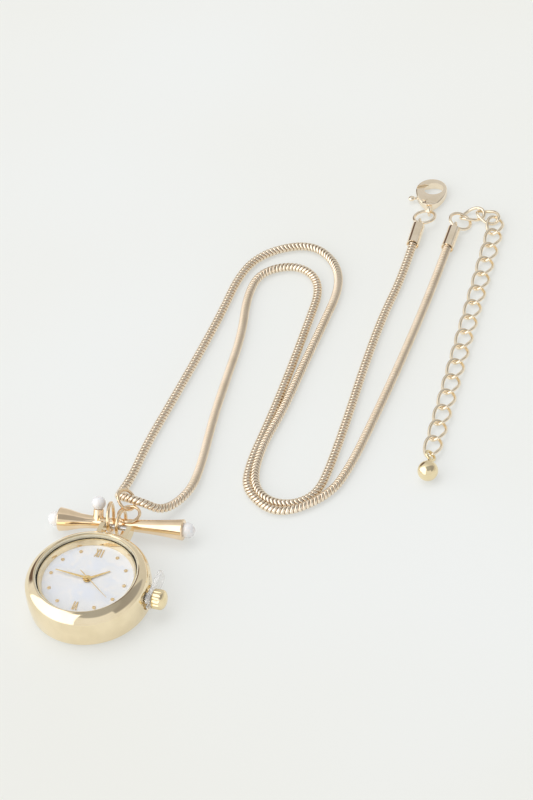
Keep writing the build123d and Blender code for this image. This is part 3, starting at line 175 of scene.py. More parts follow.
# The room's light: SIDES and AT in degrees from +X towards +Y, EDGE in cosines of the angle to a middle
SECTOR_EDGE = (-0.01, 0.03)
WINDOW_SIDES = (177, 264)
WINDOW_FOOT_EDGE = (-0.15, -0.05)
WINDOW_HEAD_EDGE = (0.89, 0.93)
WINDOW_COLOUR = (1.75, 1.75, 1.75)
ROOM_COLOUR = (0.84, 0.84, 0.83)
BACK_AT = 75
BACK_EDGE = (0.0, 0.6)
BACK_COLOUR = (0.65, 0.64, 0.62)
CORNER_AIM = (-0.7, 0.7, 0)
CORNER_EDGE = (0.82, 0.94)
CORNER_COLOUR = (0.5, 0.48, 0.45)
DIM_SIDES = (332, 50)
DIM_FOOT_EDGE = (0.28, 0.42)
DIM_COLOUR = (0.36, 0.355, 0.36)
CEILING_AIM = (0.24, -0.29, 0.927)
CEILING_EDGE = (0.86, 0.92)
CEILING_COLOUR = (0.42, 0.42, 0.42)
NICHE_AIM = (-0.771, 0.602, 0.208)
NICHE_EDGE = (0.93, 0.965)
NICHE_COLOUR = (0.16, 0.11, 0.09)
BACKGROUND_COLOUR = (0.87, 0.885, 0.875)


class ChainSizes(bpy.types.PropertyGroup):
    """Sizes of the snake chain's interlocked plates."""
    diameter: bpy.props.FloatProperty(
        name="Diameter", description="Outer diameter of the chain", default=0.0022, unit="LENGTH")
    pitch: bpy.props.FloatProperty(
        name="Pitch", description="Distance from one plate to the next", default=0.00093, unit="LENGTH")
    groove: bpy.props.FloatProperty(
        name="Groove", description="Depth of the gap between plates as a share of the radius",
        default=0.26, subtype="FACTOR")
    slant: bpy.props.FloatProperty(
        name="Slant", description="How far a plate leans along the chain across one face",
        default=0.0006, unit="LENGTH")


class MetalColours(bpy.types.PropertyGroup):
    """Colours of the plated and polished metals."""
    case: bpy.props.FloatVectorProperty(
        name="Case", description="Champagne plating of the case", subtype="COLOR",
        default=(0.975, 0.84, 0.60))
    ring: bpy.props.FloatVectorProperty(
        name="Bar and rings", description="Rose plating of the bar and its rings", subtype="COLOR",
        default=(0.98, 0.785, 0.56))
    chain: bpy.props.FloatVectorProperty(
        name="Chain", description="Light rose plating of the snake chain", subtype="COLOR",
        default=(1.0, 0.88, 0.71))
    yellow: bpy.props.FloatVectorProperty(
        name="Crown and ball", description="Yellower plating of the crown and the end ball",
        subtype="COLOR", default=(0.96, 0.82, 0.54))


class StudioSettings(bpy.types.PropertyGroup):
    """Floor and light of the studio."""
    floor: bpy.props.FloatVectorProperty(
        name="Floor", description="Colour of the paper that the watch lies on", subtype="COLOR",
        default=(0.863, 0.88, 0.868))
    daylight: bpy.props.FloatProperty(
        name="Daylight", description="Strength of the even light all round", default=1.0)


def node(tree, kind, **settings):
    """Adds a node and sets its options."""
    made = tree.nodes.new(kind)
    for key, value in settings.items():
        setattr(made, key, value)
    return made


def link(tree, source, target):
    """Joins an output to an input, or gives the input a number or an RGB tuple."""
    if isinstance(source, (int, float)):
        target.default_value = source
    elif isinstance(source, tuple):
        target.default_value = (*source, 1)
    else:
        tree.links.new(source, target)


def math_node(tree, operation, first, second=0):
    """A Math node; each argument is a socket or a number."""
    made = node(tree, "ShaderNodeMath", operation=operation)
    link(tree, first, made.inputs[0])
    link(tree, second, made.inputs[1])
    return made.outputs[0]


def vector_node(tree, operation, first, second):
    """A Vector Math node on two sockets; SCALE takes a value as its second."""
    made = node(tree, "ShaderNodeVectorMath", operation=operation)
    link(tree, first, made.inputs[0])
    link(tree, second, made.inputs["Scale"] if operation == "SCALE" else made.inputs[1])
    return made.outputs["Vector"]


def noise(tree, vector, scale, detail=3.0, roughness=0.5, output="Fac"):
    """A Noise texture's value or colour, on a vector socket."""
    made = node(tree, "ShaderNodeTexNoise")
    link(tree, vector, made.inputs["Vector"])
    link(tree, scale, made.inputs["Scale"])
    link(tree, detail, made.inputs["Detail"])
    link(tree, roughness, made.inputs["Roughness"])
    return made.outputs[output]


def map_range(tree, value, low, high, to_low=0.0, to_high=1.0):
    """Turns a span of values into another one by a smooth step, held at its ends."""
    made = node(tree, "ShaderNodeMapRange", interpolation_type="SMOOTHSTEP")
    link(tree, value, made.inputs["Value"])
    link(tree, low, made.inputs["From Min"])
    link(tree, high, made.inputs["From Max"])
    link(tree, to_low, made.inputs["To Min"])
    link(tree, to_high, made.inputs["To Max"])
    return made.outputs["Result"]


def mix_colour(tree, share, first, second):
    """Blends two colours, each a socket or an RGB tuple."""
    made = node(tree, "ShaderNodeMix", data_type="RGBA")
    link(tree, share, made.inputs["Factor"])
    ends = [socket for socket in made.inputs if socket.type == "RGBA"]
    link(tree, first, ends[0])
    link(tree, second, ends[1])
    return next(socket for socket in made.outputs if socket.type == "RGBA")


def mix_shader(tree, share, first, second):
    """Blends two shaders."""
    made = node(tree, "ShaderNodeMixShader")
    link(tree, share, made.inputs["Fac"])
    link(tree, first, made.inputs[1])
    link(tree, second, made.inputs[2])
    return made.outputs["Shader"]


def relief(tree, height, strength, reach):
    """A Bump node's normal, on a height socket."""
    made = node(tree, "ShaderNodeBump")
    made.inputs["Strength"].default_value = strength
    made.inputs["Distance"].default_value = reach
    link(tree, height, made.inputs["Height"])
    return made.outputs["Normal"]


def object_place(tree):
    """The place of a point on its object."""
    return node(tree, "ShaderNodeTexCoord").outputs["Object"]


def new_group(name, inputs):
    """An empty node group; returns its tree, what it is given and its three results.

    An input whose default is a tuple is a colour, and any other one is a value.
    """
    tree = bpy.data.node_groups.new(name, "ShaderNodeTree")
    for label, default in inputs.items():
        kind = "NodeSocketColor" if isinstance(default, tuple) else "NodeSocketFloat"
        link(tree, default, tree.interface.new_socket(label, in_out="INPUT", socket_type=kind))
    tree.interface.new_socket("Colour", in_out="OUTPUT", socket_type="NodeSocketColor")
    tree.interface.new_socket("Roughness", in_out="OUTPUT", socket_type="NodeSocketFloat")
    tree.interface.new_socket("Height", in_out="OUTPUT", socket_type="NodeSocketFloat")
    return tree, node(tree, "NodeGroupInput").outputs, node(tree, "NodeGroupOutput").inputs


def plating_group():
    """Electroplated metal: slow drifts of colour, a faint haze, and hairlines from handling."""
    tree, given, results = new_group("Plated Metal", {
        "Colour": WHITE, "Shade": WHITE, "Scale": 300.0, "Polish": 0.08, "Haze": 0.08, "Hairlines": 0.5})
    place = object_place(tree)
    drift = map_range(tree, noise(tree, place, given["Scale"], 4.0), 0.35, 0.7)
    cloud = noise(tree, place, math_node(tree, "MULTIPLY", given["Scale"], 5.3), 5.0)
    turned = node(tree, "ShaderNodeMapping")
    link(tree, place, turned.inputs["Vector"])
    turned.inputs["Rotation"].default_value = (0.3, 0.2, 0.7)
    turned.inputs["Scale"].default_value = (400, 9000, 2500)
    hairs = map_range(tree, noise(tree, turned.outputs["Vector"], 1.0, 2.0), 0.62, 0.7)
    scratches = math_node(tree, "MULTIPLY", hairs, given["Hairlines"])
    scuffed = math_node(tree, "MULTIPLY", scratches, 0.12)
    hazed = math_node(tree, "MULTIPLY", map_range(tree, cloud, 0.4, 0.75), given["Haze"])
    rough = math_node(tree, "ADD", given["Polish"], math_node(tree, "ADD", hazed, scuffed))
    height = math_node(tree, "SUBTRACT", math_node(tree, "MULTIPLY", cloud, 0.25), scratches)
    link(tree, mix_colour(tree, drift, given["Colour"], given["Shade"]), results["Colour"])
    link(tree, rough, results["Roughness"])
    link(tree, height, results["Height"])
    return tree


def nacre_group():
    """Mother-of-pearl and pearl: soft layers that drift between cool, warm and white."""
    tree, given, results = new_group("Nacre", {
        "Colour": WHITE, "Cool": WHITE, "Warm": WHITE, "Scale": 300.0, "Bend": 0.6})
    place = object_place(tree)
    warp = noise(tree, place, given["Scale"], output="Color")
    shift = vector_node(tree, "SCALE", warp, given["Bend"])
    layers = vector_node(tree, "ADD", vector_node(tree, "SCALE", place, given["Scale"]), shift)
    first = noise(tree, layers, 1.7, 4.0)
    second = noise(tree, layers, 3.1, 4.0)
    cool = mix_colour(tree, map_range(tree, first, 0.42, 0.62), given["Colour"], given["Cool"])
    both = mix_colour(tree, map_range(tree, second, 0.5, 0.68), cool, given["Warm"])
    link(tree, both, results["Colour"])
    link(tree, map_range(tree, second, 0.3, 0.7, 0.12, 0.24), results["Roughness"])
    link(tree, first, results["Height"])
    return tree


def grain_group():
    """Fine grain of moulded, coated or brushed parts."""
    tree, given, results = new_group("Fine Grain", {
        "Colour": WHITE, "Shade": WHITE, "Scale": 3000.0, "Matt": 0.4, "Spread": 0.15})
    place = object_place(tree)
    grain = noise(tree, place, given["Scale"], 5.0, 0.6)
    patch = noise(tree, place, math_node(tree, "MULTIPLY", given["Scale"], 0.12), 2.0)
    colour = mix_colour(tree, map_range(tree, patch, 0.3, 0.7), given["Colour"], given["Shade"])
    spread = math_node(tree, "MULTIPLY", grain, given["Spread"])
    link(tree, colour, results["Colour"])
    link(tree, math_node(tree, "ADD", given["Matt"], spread), results["Roughness"])
    link(tree, grain, results["Height"])
    return tree


GROUP_MAKERS = {"plated": plating_group, "nacre": nacre_group, "grain": grain_group}
GROUPS = {}


def group_tree(name):
    """A shared node group, built once."""
    if name not in GROUPS:
        GROUPS[name] = GROUP_MAKERS[name]()
    return GROUPS[name]


def surface(name, group, values, bump=0.1, reach=0.00002, **shader):
    """A material whose colour, roughness and fine relief come from one shared group.

    The other arguments are inputs of its shader, with underscores for spaces.
    """
    material = bpy.data.materials.new(name)
    material.use_nodes = True
    tree = material.node_tree
    bsdf = tree.nodes["Principled BSDF"]
    inner = node(tree, "ShaderNodeGroup", node_tree=group_tree(group))
    for key, value in values.items():
        link(tree, value, inner.inputs[key])
    link(tree, inner.outputs["Colour"], bsdf.inputs["Base Color"])
    link(tree, inner.outputs["Roughness"], bsdf.inputs["Roughness"])
    link(tree, relief(tree, inner.outputs["Height"], bump, reach), bsdf.inputs["Normal"])
    for key, value in shader.items():
        bsdf.inputs[key.replace("_", " ").title().replace("Ior", "IOR")].default_value = value
    return material


def darker(colour, share):
    """The same colour at a share of its brightness, a little warmer."""
    return (colour[0] * share, colour[1] * share * 0.985, colour[2] * share * 0.95)


def plated(name, colour, scale=300.0, polish=0.07, haze=0.07, hairlines=0.4, bump=0.05):
    """A plated metal in one colour."""
    values = {"Colour": tuple(colour), "Shade": darker(colour, 0.93), "Scale": scale,
              "Polish": polish, "Haze": haze, "Hairlines": hairlines}
    return surface(name, "plated", values, bump=bump, metallic=1.0)


def glass_material(name, colour, rough, clear_share=1.0, bend=1.02, gloss=0.6):
    """Clear glass or milky plastic that lets light through to what it covers.

    Thin and flat, it hardly bends what is seen through it, so its gloss comes from the coat.
    """
    values = {"Colour": colour, "Shade": darker(colour, 0.99), "Scale": 800.0, "Matt": rough,
              "Spread": 0.02}
    material = surface(name, "grain", values, bump=0.01, transmission_weight=clear_share, ior=bend,
                       coat_weight=gloss, coat_roughness=0.02)
    tree = material.node_tree
    clear = node(tree, "ShaderNodeBsdfTransparent")
    path = node(tree, "ShaderNodeLightPath").outputs
    passing = math_node(tree, "MAXIMUM", path["Is Shadow Ray"], path["Is Diffuse Ray"])
    shader = mix_shader(
        tree, passing, tree.nodes["Principled BSDF"].outputs["BSDF"], clear.outputs["BSDF"])
    link(tree, shader, tree.nodes["Material Output"].inputs["Surface"])
    return material


def chain_material(colour):
    """Plated plates with shade painted dark into the gaps between them, which follow the plate numbers
    that the chain's points carry.
    """
    material = plated("chain_plates_gap_shade", colour, scale=350.0, polish=0.14, haze=0.07, hairlines=0.2)
    tree = material.node_tree
    base = tree.nodes["Principled BSDF"].inputs["Base Color"]
    plating = base.links[0].from_socket
    marks = node(tree, "ShaderNodeSeparateXYZ")
    link(tree, node(tree, "ShaderNodeUVMap", uv_map="plates").outputs["UV"], marks.inputs["Vector"])
    share = math_node(tree, "FRACT", marks.outputs["X"])
    from_middle = math_node(tree, "ABSOLUTE", math_node(tree, "SUBTRACT", share, 0.5))
    # Painted shade: the gap between two plates is coloured dark, as if in shadow
    gap_shade = map_range(tree, from_middle, *GAP_SHADE_EDGE_SHARES)
    link(tree, mix_colour(tree, gap_shade, plating, GAP_SHADE_COLOUR), base)
    return material


def pearl_material():
    """A white pearl with a clear gloss that lets a little light in."""
    pearl = surface("pearl", "nacre", {
        "Colour": (0.92, 0.905, 0.90), "Cool": (0.88, 0.89, 0.92), "Warm": (0.93, 0.89, 0.875),
        "Scale": 420.0, "Bend": 0.8}, bump=0.01, coat_weight=1.0, coat_roughness=0.03,
        subsurface_weight=0.15, sheen_weight=0.2)
    inputs = pearl.node_tree.nodes["Principled BSDF"].inputs
    inputs["Subsurface Radius"].default_value = (1, 0.9, 0.85)
    inputs["Subsurface Scale"].default_value = 0.0005
    return pearl


def wire_material():
    """Enamelled copper wire, wound close along the coil's length."""
    material = surface("coil_wire", "grain", {
        "Colour": (0.72, 0.28, 0.10), "Shade": (0.55, 0.20, 0.07), "Matt": 0.3}, bump=0.5, metallic=0.6)
    tree = material.node_tree
    turns = node(tree, "ShaderNodeTexWave", bands_direction="X")
    link(tree, object_place(tree), turns.inputs["Vector"])
    turns.inputs["Scale"].default_value = 4000.0
    bump = next(made for made in tree.nodes if made.type == "BUMP")
    link(tree, turns.outputs["Fac"], bump.inputs["Height"])
    return material


def dress(names, material):
    """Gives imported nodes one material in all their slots."""
    for name in names:
        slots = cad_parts[name].data.materials
        if not slots:
            slots.append(material)
        for index in range(len(slots)):
            slots[index] = material


def tube_mesh(name, points, material, tip=(0, 0, 0), marks=None):
    """A closed tube through rings of points, given as rows, that faces outwards.

    Two neighbours on a ring and the same two on the next ring make a quad. Triangles close each
    end to a pole in the middle of its ring, and tip moves the last pole. marks holds a pair of
    numbers for each point, which go to the UV map "plates".
    """
    rows, columns = points.shape[:2]
    here = np.arange(columns)
    following = np.roll(here, -1)
    start = (np.arange(rows - 1) * columns)[:, None]
    quads = np.stack([start + here, start + columns + here, start + columns + following,
                      start + following], axis=-1).reshape(-1, 4)
    first_pole = rows * columns
    last = first_pole - columns
    caps = [np.stack([np.full(columns, first_pole), here, following], axis=-1),
            np.stack([np.full(columns, first_pole + 1), last + following, last + here], axis=-1)]
    poles = [points[0].mean(axis=0), points[-1].mean(axis=0) + tip]
    mesh = bpy.data.meshes.new(name)
    mesh.from_pydata(np.vstack([points.reshape(-1, 3), poles]).tolist(), [],
                     quads.tolist() + np.vstack(caps).tolist())
    mesh.update()
    mesh.polygons.foreach_set("use_smooth", np.ones(len(mesh.polygons), dtype=bool))
    if marks is not None:
        layer = mesh.uv_layers.new(name="plates")
        corners = np.empty(len(mesh.loops), dtype=np.int32)
        mesh.loops.foreach_get("vertex_index", corners)
        point_marks = np.vstack([marks.reshape(-1, 2), np.zeros((len(poles), 2))])
        layer.data.foreach_set("uv", point_marks[corners].astype(np.float32).ravel())
    mesh.materials.append(material)
    return mesh


def stand_in(name, mesh, body, node_name):
    """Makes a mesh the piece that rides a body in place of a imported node."""
    piece = bpy.data.objects.new(name, mesh)
    bpy.context.collection.objects.link(piece)
    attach(piece, body)
    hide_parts(node_name)
    return piece


def reshaped(node_name, body, change):
    """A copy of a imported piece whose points, in millimetres, are moved in place by a function."""
    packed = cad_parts[node_name]
    mesh = packed.data.copy()
    mesh.transform(packed.matrix_world)
    points = np.empty(len(mesh.vertices) * 3)
    mesh.vertices.foreach_get("co", points)
    points = points.reshape(-1, 3) / MM
    change(points)
    mesh.vertices.foreach_set("co", (points * MM).ravel())
    mesh.update()
    stand_in("shaped_" + node_name, mesh, body, node_name)


def own_frame(points, origin, degrees):
    """Level places of points in a frame turned about Z, and the matrix that turns them back."""
    turn = radians(degrees)
    spin = np.array([(np.cos(turn), -np.sin(turn)), (np.sin(turn), np.cos(turn))])
    return (points[:, :2] - origin) @ spin, spin


def ramp(values, start, run):
    """Goes from 0 to 1 in a straight line over a run of values, held at its ends."""
    return np.clip((values - start) / run, 0, 1)


class WATCH_OT_stage(bpy.types.Operator):
    """Sets the camera, the paper floor and the soft studio light"""
    bl_idname = "watch.stage"
    bl_label = "Studio"

    def execute(self, context):
        settings = context.scene.watch_studio
        make_camera()
        make_floor(tuple(settings.floor))
        make_daylight(settings.daylight)
        make_key_lamp()
        context.scene.view_settings.view_transform = "Standard"
        return {"FINISHED"}


def make_camera():
    """A long lens from the front right, high over the watch."""
    lens = bpy.data.cameras.new("view")
    lens.lens = FOCAL_LENGTH
    lens.clip_start = CLIP_START
    camera = bpy.data.objects.new("view", lens)
    camera.location = CAMERA_PLACE
    camera.rotation_euler = [radians(turn) for turn in CAMERA_TURN]
    bpy.context.collection.objects.link(camera)
    bpy.context.scene.camera = camera


def make_floor(colour):
    """Pale paper under the watch, which keeps the shadow and shows even and bright to the camera."""
    mesh = bpy.data.meshes.new("paper")
    corners = [(x * PAPER_REACH, y * PAPER_REACH, 0) for x, y in ((-1, -1), (1, -1), (1, 1), (-1, 1))]
    mesh.from_pydata(corners, [], [(0, 1, 2, 3)])
    floor = bpy.data.objects.new("paper", mesh)
    bpy.context.collection.objects.link(floor)
    material = bpy.data.materials.new("paper")
    material.use_nodes = True
    tree = material.node_tree
    bsdf = tree.nodes["Principled BSDF"]
    place = object_place(tree)
    drift = map_range(tree, noise(tree, place, 6.0, 2.0), 0.3, 0.7)
    tone = mix_colour(tree, drift, colour, darker(colour, 0.985))
    link(tree, tone, bsdf.inputs["Base Color"])
    bsdf.inputs["Roughness"].default_value = 0.6
    bsdf.inputs["Specular IOR Level"].default_value = 0.2
    fibre = noise(tree, place, 900.0, 4.0)
    link(tree, relief(tree, fibre, 0.03, 0.00005), bsdf.inputs["Normal"])
    glow = node(tree, "ShaderNodeEmission")
    link(tree, tone, glow.inputs["Color"])
    path = node(tree, "ShaderNodeLightPath").outputs
    through = math_node(tree, "MAXIMUM", path["Is Glossy Ray"], path["Is Transmission Ray"])
    seen = math_node(tree, "MAXIMUM", path["Is Camera Ray"], through)
    share = math_node(tree, "MULTIPLY", seen, PAPER_GLOW_SHARE)
    shader = mix_shader(tree, share, bsdf.outputs["BSDF"], glow.outputs["Emission"])
    link(tree, shader, tree.nodes["Material Output"].inputs["Surface"])
    mesh.materials.append(material)


def make_daylight(strength):
    """Light of a pale room: tall window on the left, dim right side and ceiling, dark niche behind.

    A patch's mask is a smooth step of the cosine between a direction and the patch's middle. A sector
    is the product of two such steps, and each patch lies over the ones before it.
    """
    world = bpy.data.worlds.new("studio")
    bpy.context.scene.world = world
    world.use_nodes = True
    tree = world.node_tree
    tree.nodes.clear()
    direction = node(tree, "ShaderNodeTexCoord").outputs["Generated"]

    def towards(aim, edge):
        """How near a direction is to an aim, from 0 to 1."""
        dot = node(tree, "ShaderNodeVectorMath", operation="DOT_PRODUCT")
        link(tree, direction, dot.inputs[0])
        dot.inputs[1].default_value = Vector(aim).normalized()
        return map_range(tree, dot.outputs["Value"], *edge)

    def compass(degrees):
        """A level direction, in degrees from +X towards +Y."""
        return (np.cos(np.radians(degrees)), np.sin(np.radians(degrees)), 0)

    def sector(first, last):
        """The upright slice between two compass directions under 180 degrees apart."""
        return math_node(tree, "MULTIPLY", towards(compass(first + 90), SECTOR_EDGE),
                         towards(compass(last - 90), SECTOR_EDGE))

    window_height = math_node(
        tree, "SUBTRACT", towards(UP, WINDOW_FOOT_EDGE), towards(UP, WINDOW_HEAD_EDGE))
    window = math_node(tree, "MULTIPLY", sector(*WINDOW_SIDES), window_height)
    dim = math_node(tree, "MULTIPLY", sector(*DIM_SIDES), towards(UP, DIM_FOOT_EDGE))
    patches = (
        (towards(compass(BACK_AT), BACK_EDGE), BACK_COLOUR),
        (towards(CORNER_AIM, CORNER_EDGE), CORNER_COLOUR),
        (dim, DIM_COLOUR),
        (towards(CEILING_AIM, CEILING_EDGE), CEILING_COLOUR),
        (towards(NICHE_AIM, NICHE_EDGE), NICHE_COLOUR),
        (window, WINDOW_COLOUR),
    )
    tone = ROOM_COLOUR
    for mask, colour in patches:
        tone = mix_colour(tree, mask, tone, colour)
    light = node(tree, "ShaderNodeBackground")
    link(tree, tone, light.inputs["Color"])
    light.inputs["Strength"].default_value = strength
    plain = node(tree, "ShaderNodeBackground")
    link(tree, BACKGROUND_COLOUR, plain.inputs["Color"])
    seen = node(tree, "ShaderNodeLightPath").outputs["Is Camera Ray"]
    shader = mix_shader(tree, seen, light.outputs["Background"], plain.outputs["Background"])
    link(tree, shader, node(tree, "ShaderNodeOutputWorld").inputs["Surface"])


def make_key_lamp():
    """One large soft lamp from the upper left, which gives the faint shadows their side."""
    lamp = bpy.data.lights.new("key", "AREA")
    lamp.shape = "SQUARE"
    lamp.size = KEY_SIZE
    lamp.energy = KEY_POWER
    holder = bpy.data.objects.new("key", lamp)
    holder.location = KEY_PLACE
    holder.visible_glossy = False
    aim = Vector(KEY_AIM) - Vector(KEY_PLACE)
    holder.rotation_euler = aim.to_track_quat("-Z", "Y").to_euler()
    bpy.context.collection.objects.link(holder)


class WATCH_OT_clasp(bpy.types.Operator):
    """Finishes and slims the lobster clasp, and finishes the end caps and the jump rings"""
    bl_idname = "watch.clasp"
    bl_label = "Clasp and caps"

    def execute(self, context):
        colour = context.scene.watch_metals.chain
        dress(["clasp_end_cap", "extender_end_cap"],
              plated("cap_plating", colour, scale=400.0, polish=0.08, bump=0.015))
        dress(["clasp_jump_ring", "extender_jump_ring"],
              plated("jump_ring_plating", colour, scale=600.0))
        dress(["clasp_body", "clasp_lever", "clasp_rivet"], plated("clasp_plating", colour, scale=350.0))
        dress(["clasp_spring"], plated("spring_steel", (0.66, 0.66, 0.67), scale=900.0, polish=0.25))
        reshaped("clasp_body", "clasp", slimmer)
        reshaped("clasp_rivet", "clasp", slimmer)
        reshaped("clasp_lever", "clasp_catch", slimmer)
        reshaped("clasp_spring", "clasp", slimmer)
        return {"FINISHED"}


def slimmer(points):
    """Slims the clasp beyond its tail ring and widens its opening.

    Heights over the clasp's middle shrink by a share that ramps up along it. Points round the
    opening move out from its centre by a share that ramps down with their distance, measured in
    the opening's half sizes.
    """
    flat, spin = own_frame(points, CLASP_TAIL, CLASP_TURN)
    slim = ramp(flat[:, 1], SLIM_START, SLIM_RUN)
    height = (points[:, 2] - CLASP_HEIGHT) * (1 - SLIM_SHARE * slim)
    points[:, 2] = CLASP_HEIGHT + height - SLIM_DROP * slim
    away = np.linalg.norm((flat - OPENING_CENTRE) / OPENING_HALF, axis=1)
    push = 1 + WIDER_SHARE * np.clip((WIDER_REACH_SHARE - away) / WIDER_FADE_SHARE, 0, 1)
    flat = OPENING_CENTRE + (flat - OPENING_CENTRE) * push[:, None]
    points[:, :2] = flat @ spin.T + CLASP_TAIL


class WATCH_OT_chain(bpy.types.Operator):
    """Makes the snake chain from plates that lean one way on each of its four faces"""
    bl_idname = "watch.chain"
    bl_label = "Snake chain"

    def execute(self, context):
        sizes = context.scene.watch_chain
        line = route_line()
        length = float(np.linalg.norm(np.diff(line, axis=0), axis=1).sum())
        points, marks = plate_grid(line, length, sizes)
        mesh = tube_mesh(
            "chain_tube", points, chain_material(context.scene.watch_metals.chain), marks=marks)
        chain = stand_in("chain_tube", mesh, "watch_case", "snake_chain")
        ends = [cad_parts[name] for name in CHAIN_END_NODES]
        ends += [bpy.data.objects["shaped_" + name] for name in CLASP_PIECES]
        return {"FINISHED"}


def route_line():
    """The chain's middle line: one open spline of order 3 through its route, read as points."""
    curve = bpy.data.curves.new("chain_route", "CURVE")
    curve.dimensions = "3D"
    curve.resolution_u = ROUTE_RESOLUTION
    spline = curve.splines.new("NURBS")
    spline.points.add(len(ROUTE) - 1)
    for point, place in zip(spline.points, ROUTE):
        point.co = (place[0] * MM, place[1] * MM, place[2] * MM, 1)
    spline.order_u = 3
    spline.use_endpoint_u = True
    holder = bpy.data.objects.new("chain_route", curve)
    bpy.context.collection.objects.link(holder)
    bpy.context.view_layer.update()
    mesh = bpy.data.meshes.new_from_object(holder)
    line = np.empty(len(mesh.vertices) * 3)
    mesh.vertices.foreach_get("co", line)
    bpy.data.meshes.remove(mesh)
    bpy.data.objects.remove(holder)
    bpy.data.curves.remove(curve)
    return line.reshape(-1, 3)


def along(line, distances):
    """Points and directions at distances along a line; both keep the shape of distances.

    A direction is the unit step from one mean spacing behind the point to one ahead of it.
    """
    steps = np.linalg.norm(np.diff(line, axis=0), axis=1)
    reach = np.concatenate([[0], np.cumsum(steps)])
    spacing = steps.mean()

    def at(places):
        """Points of the line at places along it."""
        return np.stack([np.interp(places, reach, line[:, axis]) for axis in range(3)], axis=-1)

    forward = at(distances + spacing) - at(distances - spacing)
    return at(distances), forward / np.linalg.norm(forward, axis=-1, keepdims=True)


def plate_grid(line, length, sizes):
    """Points of the plates, and each point's plate number and share of a turn.

    A point's distance along the chain is its row's plus half the slant times a zigzag of its angle,
    which goes from -1 to 1 and back twice a turn, so that plates lean forwards on two faces and back
    on the two between. Its radius is a little less on the diagonals, and dips in the gap between
    plates.
    """
    plates = int(length / sizes.pitch)
    number = (np.arange(plates)[:, None] + PLATE_PLACE_SHARES).ravel()
    number = np.append(number, plates)[:, None]
    depth = np.append(np.tile(PLATE_DEPTH_SHARES, plates), 1)[:, None]
    turn = np.arange(CHAIN_COLUMNS) / CHAIN_COLUMNS
    angle = turn * 2 * pi
    quarter = angle / (pi / 2)
    zigzag = np.abs((quarter % 2) - 1) * -2 + 1
    travel = np.clip(number / plates * length + zigzag * sizes.slant / 2, 0, length)
    centre, forward = along(line, travel)
    side = np.cross(forward, UP)
    side /= np.linalg.norm(side, axis=-1, keepdims=True)
    upward = np.cross(side, forward)
    facet = 1 - DIAGONAL_SHARE * (1 - np.cos(4 * angle)) / 2
    radius = sizes.diameter / 2 * facet * (1 - sizes.groove * depth)
    outward = np.cos(angle)[:, None] * side + np.sin(angle)[:, None] * upward
    marks = np.stack(np.broadcast_arrays(number, turn), axis=-1)
    return centre + radius[..., None] * outward, marks


class WATCH_OT_case(bpy.types.Operator):
    """Finishes the case, its back and seals, and the glass"""
    bl_idname = "watch.case"
    bl_label = "Case and glass"

    def execute(self, context):
        colour = context.scene.watch_metals.case
        dress(["case"],
              plated("case_plating", colour, scale=160.0, polish=0.05, haze=0.05, hairlines=0.3))
        dress(["flange_ring"], plated("flange_polish", darker(colour, 0.99), scale=500.0, polish=0.02,
                                      haze=0.02, hairlines=0.1))
        dress(["case_back"],
              plated("back_steel", (0.72, 0.72, 0.72), scale=400.0, polish=0.22, hairlines=1.0))
        dress(["back_gasket"], surface("seal", "grain", {
            "Colour": (0.03, 0.03, 0.03), "Shade": (0.045, 0.045, 0.045), "Matt": 0.6}))
        dress(["crystal_gasket"], surface("glass_seal", "grain", {
            "Colour": (0.80, 0.74, 0.58), "Shade": (0.76, 0.70, 0.54), "Matt": 0.3}))
        dress(["crystal"], glass_material("watch_glass", (0.985, 0.995, 0.995), 0.0))
        return {"FINISHED"}


class WATCH_OT_dial(bpy.types.Operator):
    """Finishes the shell dial, the hour marks and the hands"""
    bl_idname = "watch.dial"
    bl_label = "Dial and hands"

    def execute(self, context):
        dress(["dial"], surface("shell_dial", "nacre", {
            "Colour": (0.84, 0.85, 0.89), "Cool": (0.79, 0.82, 0.90), "Warm": (0.88, 0.87, 0.89),
            "Scale": 150.0, "Bend": 1.0}, bump=0.04, coat_weight=0.3, coat_roughness=0.08))
        dress(["hour_marks"], plated("gilt_marks", (0.86, 0.66, 0.40), scale=900.0, polish=0.16))
        dress(["hour_hand", "minute_hand", "second_hand"],
              plated("gilt_hands", (0.97, 0.72, 0.34), scale=900.0, polish=0.12))
        return {"FINISHED"}


class WATCH_OT_movement(bpy.types.Operator):
    """Finishes the quartz movement inside the case"""
    bl_idname = "watch.movement"
    bl_label = "Movement"

    def execute(self, context):
        dress(["main_plate", "seconds_wheel", "intermediate_wheel", "third_wheel", "centre_wheel",
               "minute_wheel", "hour_wheel"],
              plated("movement_brass", (0.80, 0.62, 0.30), scale=900.0, polish=0.3, hairlines=0.8))
        dress(["train_bridge", "movement_screws", "stator", "battery_strap", "rotor", "cannon_pinion",
               "crown_tube", "stem", "lug_pin"],
              plated("movement_steel", (0.66, 0.66, 0.67), scale=900.0, polish=0.25, hairlines=0.8))
        dress(["battery"], plated("battery_steel", (0.78, 0.78, 0.78), scale=700.0, polish=0.15))
        dress(["movement_holder"], surface("holder_plastic", "grain", {
            "Colour": (0.80, 0.80, 0.77), "Shade": (0.76, 0.76, 0.73), "Matt": 0.4}))
        dress(["circuit_board"], surface("board", "grain", {
            "Colour": (0.03, 0.16, 0.07), "Shade": (0.04, 0.20, 0.09), "Matt": 0.35}))
        dress(["coil"], wire_material())
        return {"FINISHED"}


class WATCH_OT_crown(bpy.types.Operator):
    """Makes the fluted crown with its round dome, and finishes its clear stop tab"""
    bl_idname = "watch.crown"
    bl_label = "Crown and tab"

    def execute(self, context):
        plating = plated("crown_plating", context.scene.watch_metals.yellow, scale=500.0, polish=0.08)
        mesh = tube_mesh("rounded_crown", crown_grid(), plating, tip=(CROWN_TIP * MM, 0, 0))
        stand_in("rounded_crown", mesh, "crown_and_stem", "crown")
        dress(["crown_stop_tab"], glass_material(
            "tab_plastic", (0.97, 0.97, 0.98), 0.1, clear_share=0.7, bend=1.1, gloss=1.0))
        return {"FINISHED"}


